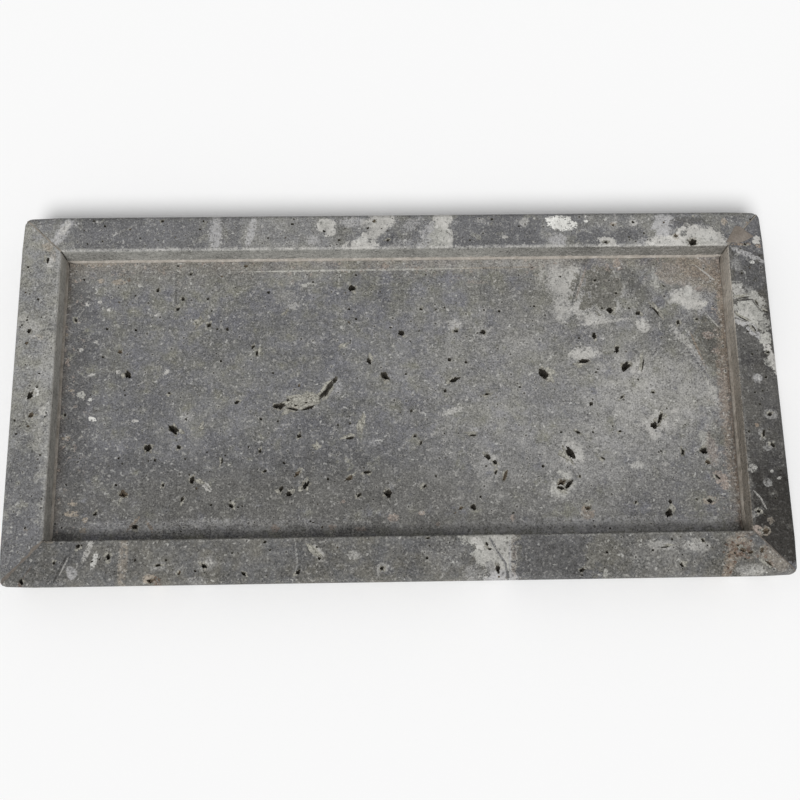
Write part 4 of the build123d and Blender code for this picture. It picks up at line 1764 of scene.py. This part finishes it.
@dataclass(kw_only=True)
class MitreResin(Piece):
    """The resin in a mitre, rubbed flat on top and smeared unevenly over both its lips.

    Attributes:
        corner: The number of its corner.
        wide: Its greatest width on top.
        least: How far it reaches to either side, at the least.
        grid: Size of its mesh along the mitre.
        storey: Its size in height.
    """

    corner: int
    wide: float
    ending: str = "_sheet"
    least: float = 0.29
    grid: float = 1.2
    storey: float = 2.4

    # Sizes of the noise that its lips wander with, coarse and fine, and of the noise that widens them
    WANDER, FINE_WANDER, WIDENING = 5.0, 1.7, 3.0
    # The share of the fine wander, how far they wander, and the middle and swing of their width
    FINE_SHARE, WANDERING, MIDDLE, SWING = 0.6, 0.7, 0.6, 0.7

    def blank(self) -> Mesh:
        """Saw a sheet of resin, then let its lips wander.

        Returns:
            The sheet.
        """
        block = TRAY.rounded_block()
        outer, wall = TRAY.corners[self.corner], TRAY.walls[self.corner]
        run = (wall - outer).normalized()
        side = UP.cross(run)
        for away in (side, -side):
            cut_off(block, outer + away * self.wide / 2, away)
        for inward in (X * copysign(1.0, run.x), Y * copysign(1.0, run.y)):
            cut_off(block, wall, inward)
        score(block, UP, TRAY.base, TRAY.rim, self.storey)
        score(block, run, outer.dot(run), wall.dot(run), self.grid)
        drift = Vector((self.corner * 37.0, 5.0, 11.0))
        for vert in block.verts:
            off = (vert.co - outer).dot(side)
            wander = noise.noise(vert.co / self.WANDER + drift)
            wander += self.FINE_SHARE * noise.noise(vert.co / self.FINE_WANDER + drift)
            share = self.MIDDLE + self.SWING * noise.noise(vert.co / self.WIDENING - drift)
            half = max(self.least, self.wide / 2 * min(1.0, max(0.0, share)))
            vert.co += side * (copysign(half, off) - off + self.WANDERING * wander * (half - self.least))
        TRAY.wear_corners(block)
        return block


@dataclass(kw_only=True)
class FloorSeam(Piece):
    """The resin between a wall and the floor, with smears on the floor and drips on the wall.

    Attributes:
        side: The side of the tray that it is on.
        rise: How far it climbs the wall, on average.
        spread: How far it smears over the floor, on average.
        drip: How far the highest drip climbs, over the rise.
        step: The distance between its outlines.
        tail: The length of its thin ends.
    """

    side: Side
    rise: float
    spread: float
    ending: str = "_bead"
    crease: float = 60.0
    drip: float = 3.0
    step: float = 1.1
    tail: float = 20.0

    # Sizes of the noise for its waves, coarse and fine, and for its drips, and the share of the fine waves
    WAVES, FINE_WAVES, DRIPS, FINE_SHARE = 9.0, 2.6, 1.9, 0.7
    # How far the waves swing its rise and its spread, and the least share of each that is left
    RISE_SWING, LEAST_RISE, SPREAD_SWING, LEAST_SPREAD = 0.8, 0.35, 1.4, 0.08
    # The value of the noise from which resin drips, and how far aside its noise is taken
    DRIP_FROM, DRIP_ASIDE = 0.18, Vector((7.0, 3.0, 1.0))
    # How far apart the seams lie in the noise, how narrow their ends are, and how soon they are wide
    APART, NARROWEST, SOONER = 41.0, 0.15, 4.0

    def profile(self, joint: float, spread: float, rise: float) -> tuple[tuple[float, float], ...]:
        """Draw the seam's outline at one place.

        Args:
            joint: Width of the joint there.
            spread: How far the resin reaches over the floor.
            rise: How far it climbs the wall.

        Returns:
            How far each point is from the wall, and its height.
        """
        base, floor = TRAY.base + 0.05, TRAY.floor
        return (
            # The joint's foot, a little inside the wall and the slab, and the smear's edge under the floor
            (-0.2, base), (joint + 0.15, base), (joint + 0.15, floor - 0.6), (spread, floor - 0.25),
            # The hollow slope from the floor up to the wall
            (spread * 0.97, floor - 0.03), (spread * 0.6 + joint * 0.2, floor + 0.16),
            (joint * 0.5, floor + 0.3 * rise), (0.16, floor + 0.75 * rise), (0.0, floor + rise),
            # The top, inside the wall
            (-0.25, floor + rise + 0.1),
        )

    def blank(self) -> Mesh:
        """Run the outline along the wall.

        Returns:
            The seam.
        """
        start, end, _, inward = TRAY.wall(self.side)
        count = round((end - start).length / self.step)
        rows = []
        for number in range(count + 1):
            share = number / count
            place = start.lerp(end, share)
            spot = place + UP * (self.side.number * self.APART)
            narrow = self.NARROWEST + self.SOONER * min(share, 1.0 - share) * count * self.step / self.tail
            narrow = min(1.0, narrow)
            wave = noise.noise(spot / self.WAVES) + self.FINE_SHARE * noise.noise(spot / self.FINE_WAVES)
            drip = max(0.0, noise.noise(spot / self.DRIPS + self.DRIP_ASIDE) - self.DRIP_FROM)
            joint = TRAY.joint * narrow
            spread = joint + self.spread * max(self.LEAST_SPREAD, 1.0 + self.SPREAD_SWING * wave) * narrow
            rise = self.rise * max(self.LEAST_RISE, 1.0 + self.RISE_SWING * wave) + drip * self.drip
            outline = self.profile(joint, spread, rise)
            rows.append([place + inward * off + UP * height for off, height in outline])
        return tube(rows)


def tube(rows: list[list[Vector]]) -> Mesh:
    """Roll a grid into a closed bar.

    Args:
        rows: The outlines that the bar passes through, each with the same number of points.

    Returns:
        The bar, with both its ends filled.
    """
    bar = bmesh.new()
    last_row, points = len(rows) - 1, len(rows[0])
    bmesh.ops.create_grid(bar, x_segments=last_row, y_segments=points, size=1.0)
    for vert in bar.verts:
        row = round((vert.co.x + 1.0) / 2 * last_row)
        point = round((vert.co.y + 1.0) / 2 * points)
        vert.co = rows[row][point % points]
    bmesh.ops.remove_doubles(bar, verts=bar.verts, dist=1e-4)
    bmesh.ops.holes_fill(bar, edges=[edge for edge in bar.edges if edge.is_boundary], sides=0)
    return bar


@dataclass(kw_only=True)
class CornerFill(Piece):
    """The resin that fills the broken corner, rubbed flush across the mitre.

    Attributes:
        outline: Its corners in the reference view, in pixels.
        middle: Its middle there.
        reach: How far it reaches from its middle.
        deep: Its depth.
        edge: Radius of its upper edge.
        sunk: How far its top lies under the stone's.
        wander: How far its outline wanders.
        clearance: How much wider the bed is that it lies in.
        overrun: How far that bed's shape stands out of the stone.
    """

    node: str = "back_right_corner_fill"
    ending: str = "_plug"
    crease: float = 50.0
    outline: tuple[tuple[float, float], ...] = (
        (725.5, 242.5), (730.5, 233.5), (735.5, 225.0), (741.5, 226.5), (747.0, 231.5), (754.5, 236.0),
        (747.0, 240.0), (739.0, 243.0),
    )
    middle: tuple[float, float] = (740.0, 235.0)
    reach: float = 9.0
    deep: float = 2.0
    edge: float = 0.12
    sunk: float = 0.02
    wander: float = 0.35
    clearance: float = 0.04
    overrun: float = 2.0

    # Steps to a side of the outline, how round its corners are, how far its sides are drawn in, the size of
    # the noise they wander with, and how far below the rim its upper edge is looked for
    STEPS, ROUND, DRAWN_IN, WAVES, EDGE_BAND = 5, 0.15, 0.03, 2.0, 0.1

    def flat(self, grow: float) -> Mesh:
        """Make the closed outline as a flat face.

        Args:
            grow: How far it is moved outwards.

        Returns:
            The face.
        """
        flat = bmesh.new()
        bmesh.ops.create_circle(flat, cap_ends=True, segments=self.STEPS * len(self.outline), radius=1.0)
        spots = [VIEW.spot(x, y, TRAY.rim) for x, y in self.outline]
        middle = sum(spots, Vector()) / len(spots)
        for number, vert in enumerate(flat.verts):
            corner, share = divmod(number / len(flat.verts) * len(spots), 1)
            near, far = spots[int(corner)], spots[(int(corner) + 1) % len(spots)]
            before = (spots[int(corner) - 1] + near) / 2
            straight = near.lerp(far, share)
            vert.co = straight.lerp((near + far) / 2, self.ROUND) + (middle - straight) * self.DRAWN_IN
            wander = self.wander * noise.noise(vert.co / self.WAVES + before)
            vert.co += (vert.co - middle).normalized() * (grow + wander)
        return flat

    def block(self, grow: float, rise: float) -> Mesh:
        """Make the outline as a solid.

        Args:
            grow: How far it is moved outwards.
            rise: How far it stands out of the stone.

        Returns:
            The solid.
        """
        solid = self.flat(grow)
        for vert in solid.verts:
            vert.co.z = TRAY.rim - self.deep
        raised = bmesh.ops.extrude_face_region(solid, geom=solid.faces[:])
        top = [item for item in raised["geom"] if isinstance(item, bmesh.types.BMVert)]
        bmesh.ops.translate(solid, vec=UP * (self.deep + rise), verts=top)
        bmesh.ops.recalc_face_normals(solid, faces=solid.faces)
        return solid

    def clear_bed(self, cutter: Cutter) -> None:
        """Let a cutter cut the fill's bed out of a piece beside it."""
        middle = VIEW.spot(*self.middle, TRAY.rim)
        cutter.add_shape(self.block(self.clearance, self.overrun), middle, self.reach)

    def blank(self) -> Mesh:
        """Return the fill with its upper edge rounded."""
        solid = self.block(0.0, -self.sunk)
        bevel(solid, edges_where(solid, lambda spot: spot.z > TRAY.rim - self.EDGE_BAND), self.edge, 2)
        return solid


@dataclass(kw_only=True)
class Pad(Piece):
    """A round pad of foamed rubber, stuck under the floor slab and squashed a little.

    Attributes:
        edge: Radius of its edges.
        sides: The number of its sides.
        wobble: How far its outline wanders, as a share of its radius.
        waist: How much narrower it is at its ends, as a share of its radius.
    """

    slot: str = "foot"
    ending: str = "_pad"
    crease: float = 60.0
    edge: float = 0.35
    sides: int = 48
    wobble: float = 0.02
    waist: float = 0.015

    def blank(self) -> Mesh:
        """Punch a disc and squash it a little.

        Returns:
            The disc.
        """
        low, high = node_box(self.node)
        middle = (low + high) / 2
        radius = (high.x - low.x) / 2
        disc = bmesh.new()
        bmesh.ops.create_cone(disc, cap_ends=True, segments=self.sides, radius1=radius, radius2=radius,
                              depth=high.z - low.z)
        bmesh.ops.translate(disc, vec=middle, verts=disc.verts)
        loops = [edge for edge in disc.edges if abs(edge.verts[0].co.z - edge.verts[1].co.z) < NEAR]
        bevel(disc, loops, self.edge, 3)
        for vert in disc.verts:
            wobble = 1.0 - self.wobble * (0.5 + 0.5 * noise.noise(vert.co / 4.0))
            waist = 1.0 - self.waist * (1.0 - abs(vert.co.z - middle.z) / (high.z - middle.z))
            vert.co.xy = middle.xy + (vert.co - middle).xy * wobble * waist
        return disc


@dataclass
class Studio:
    """A pale floor, soft light from above and in front, and the camera.

    Attributes:
        paper: Tone of the floor, which the camera sees as white where no shadow falls.
        size: Half the floor's width.
        key_tilt: How far the lamp is tilted from straight above, in degrees.
        key_swing: How far it is swung to the side, in degrees.
        key_level: Its strength.
        key_softness: The angle that it fills, in degrees.
        room_level: Strength of the room's even light.
    """

    paper: str = "#fcfcfc"
    size: float = 3000.0
    key_tilt: float = 36.0
    key_swing: float = -14.0
    key_level: float = 2.25
    key_softness: float = 26.0
    room_level: float = 0.4

    def build(self) -> None:
        """Set up the studio."""
        VIEW.make_camera()
        self.make_floor()
        self.make_key()
        self.make_room()

    def make_floor(self) -> None:
        """Lay the floor."""
        sheet = bmesh.new()
        bmesh.ops.create_grid(sheet, x_segments=1, y_segments=1, size=self.size)
        material = bpy.data.materials.new("studio_floor_paper")
        tree = empty_tree(material)
        surface = add_node(tree, "BsdfDiffuse", {"Color": linear(self.paper)})
        add_node(tree, "OutputMaterial", {"Surface": surface.outputs[0]})
        floor = to_object("studio_floor", sheet, [material])
        floor.scale = (METRES,) * 3

    def make_key(self) -> None:
        """Hang the broad lamp above the tray's front edge."""
        lamp = bpy.data.lights.new("key", "SUN")
        lamp.energy = self.key_level
        lamp.angle = radians(self.key_softness)
        add_object("key", lamp).rotation_euler = (radians(self.key_tilt), 0.0, radians(self.key_swing))

    def make_room(self) -> None:
        """Fill the room with even light, and show it white."""
        world = bpy.data.worlds.new("room")
        bpy.context.scene.world = world
        tree = empty_tree(world)
        rays = add_node(tree, "LightPath").outputs
        seen = add_node(tree, "Math", {0: rays["Is Camera Ray"], 1: rays["Is Transmission Ray"]},
                        operation="MAXIMUM").outputs[0]
        level = add_node(tree, "MapRange", {"Value": seen, "To Min": self.room_level, "To Max": 1.0})
        light = add_node(tree, "Background", {"Color": (1.0,) * 4, "Strength": level.outputs[0]})
        add_node(tree, "OutputWorld", {"Surface": light.outputs[0]})


# The strips' cool and warm ground tones, walls, patches and pits
STONES = (
    ("#646464", "#6b6963", Wall(Side.FRONT, "#66645f", "#66645f", 0.5, 0.2), FRONT_PATCHES, FRONT_PITS),
    ("#494848", "#53514c", Wall(Side.RIGHT, "#a79e92", "#f0e7da", 0.68, 0.12), RIGHT_PATCHES, RIGHT_PITS),
    ("#777778", "#7e7d78", Wall(Side.BACK, "#7d7a74", "#a6a59f", 0.3, 0.65), BACK_PATCHES, BACK_PITS),
    # Painted light: the left wall's tones are pale to make up for the shade it stands in, away from the
    # lamp.
    ("#828282", "#86857e", Wall(Side.LEFT, "#d8d5cd", "#c6c3bb", 0.5, 0.35), LEFT_PATCHES, LEFT_PITS),
)
# The last stain darkens the floor in a narrow band along the right wall.
FLOOR_STAINS = (
    Stain(Side.BACK, 12.0, TAN, 0.4), Stain(Side.RIGHT, 9.0, ORANGE, 0.5),
    Stain(Side.LEFT, 6.0, ORANGE, 0.25), Stain(Side.RIGHT, 4.0, BROWN, 0.7),
)
# The seams' rise and spread, and whether they are darker at their foot
SEAMS = {
    Side.FRONT: (0.8, 0.2, True), Side.RIGHT: (1.8, 0.1, True), Side.BACK: (0.5, 0.1, False),
    Side.LEFT: (1.0, 0.1, False),
}
# The widths of the mitres' resin, and whether it is the paler one
MITRES = {"front_left": (2.2, False), "front_right": (0.6, False), "back_right": (0.9, True),
          "back_left": (1.4, True)}
# How far over the floor a seam's darker foot reaches
DARKENING_RISE = 0.6


def build_stone(fill: CornerFill) -> Material:
    """Build the floor slab and the rim strips.

    Args:
        fill: The corner fill that the back and right strips make room for.

    Returns:
        The lining of their pits.
    """
    lining = PitLining().build()
    finish = Travertine("honed_travertine_floor", "#717175", "#7a7970", TRAY.floor, FLOOR_PATCHES, 11.0,
                        FLOOR_STAINS)
    floor = FloorSlab(node="floor_slab", material=finish.build(), slot="floor_stone", lining=lining, seed=3)
    floor.read_off()
    floor.build()
    for number, (cool, warm, wall, patches, pits) in enumerate(STONES, 1):
        side = wall.side
        finish = Travertine("honed_travertine_" + side.word, cool, warm, TRAY.rim, patches, 40.0 * number,
                            wall=wall)
        strip = RimStrip(node=side.word + "_rim_strip", material=finish.build(), slot=side.word + "_stone",
                         lining=lining, seed=10 + number, side=side)
        if side in (Side.BACK, Side.RIGHT):
            fill.clear_bed(strip.cutter)
        for pit in SeenPits(TRAY.rim).read(pits, strip.draw):
            strip.cutter.add_pit(pit)
        strip.build()
    return lining


def build_resin(fill: CornerFill, lining: Material) -> None:
    """Build the resin in the joints and the broken corner, and the pads.

    Args:
        fill: The corner fill.
        lining: The material of the faces that are cut for it.
    """
    filler = StoneFiller("tan_stone_filler", "#a09990", "#868077", "#b4aea6").build()
    mitre_filler = StoneFiller("mitre_stone_filler", "#6c655e", "#5a544e", "#7c756c").build()
    pale_filler = StoneFiller("pale_stone_filler", "#878178", "#736d65", "#979189").build()
    dark_foot_filler = StoneFiller("dirty_stone_filler", "#9a9288", "#807a70", "#aca69d",
                               clean_above=TRAY.floor + DARKENING_RISE).build()
    rubber = FoamedRubber().build()
    for number, (corner, (wide, pale)) in enumerate(MITRES.items()):
        resin = MitreResin(node=corner + "_mitre_resin", material=pale_filler if pale else mitre_filler,
                           corner=number, wide=wide)
        if fill.node.startswith(corner):
            resin.cutter = Cutter(lining, random.Random(0))
            fill.clear_bed(resin.cutter)
        resin.build()
        Pad(node=corner + "_foot", material=rubber).build()
    for side, (rise, spread, dark_foot) in SEAMS.items():
        FloorSeam(node=side.word + "_floor_seam", material=dark_foot_filler if dark_foot else filler, side=side,
                  rise=rise, spread=spread).build()
    fill.build()


def main() -> None:
    """Build the tray and the studio."""
    logging.basicConfig(level=logging.INFO, format="%(name)s: %(message)s")
    bpy.context.scene.view_settings.view_transform = "Standard"
    smooth_filler = StoneFiller("smooth_stone_filler", "#7b736b", "#726a61", "#878078", 0.4).build()
    fill = CornerFill(material=smooth_filler)
    lining = build_stone(fill)
    build_resin(fill, lining)
    Studio().build()


if __name__ == "__main__":
    main()
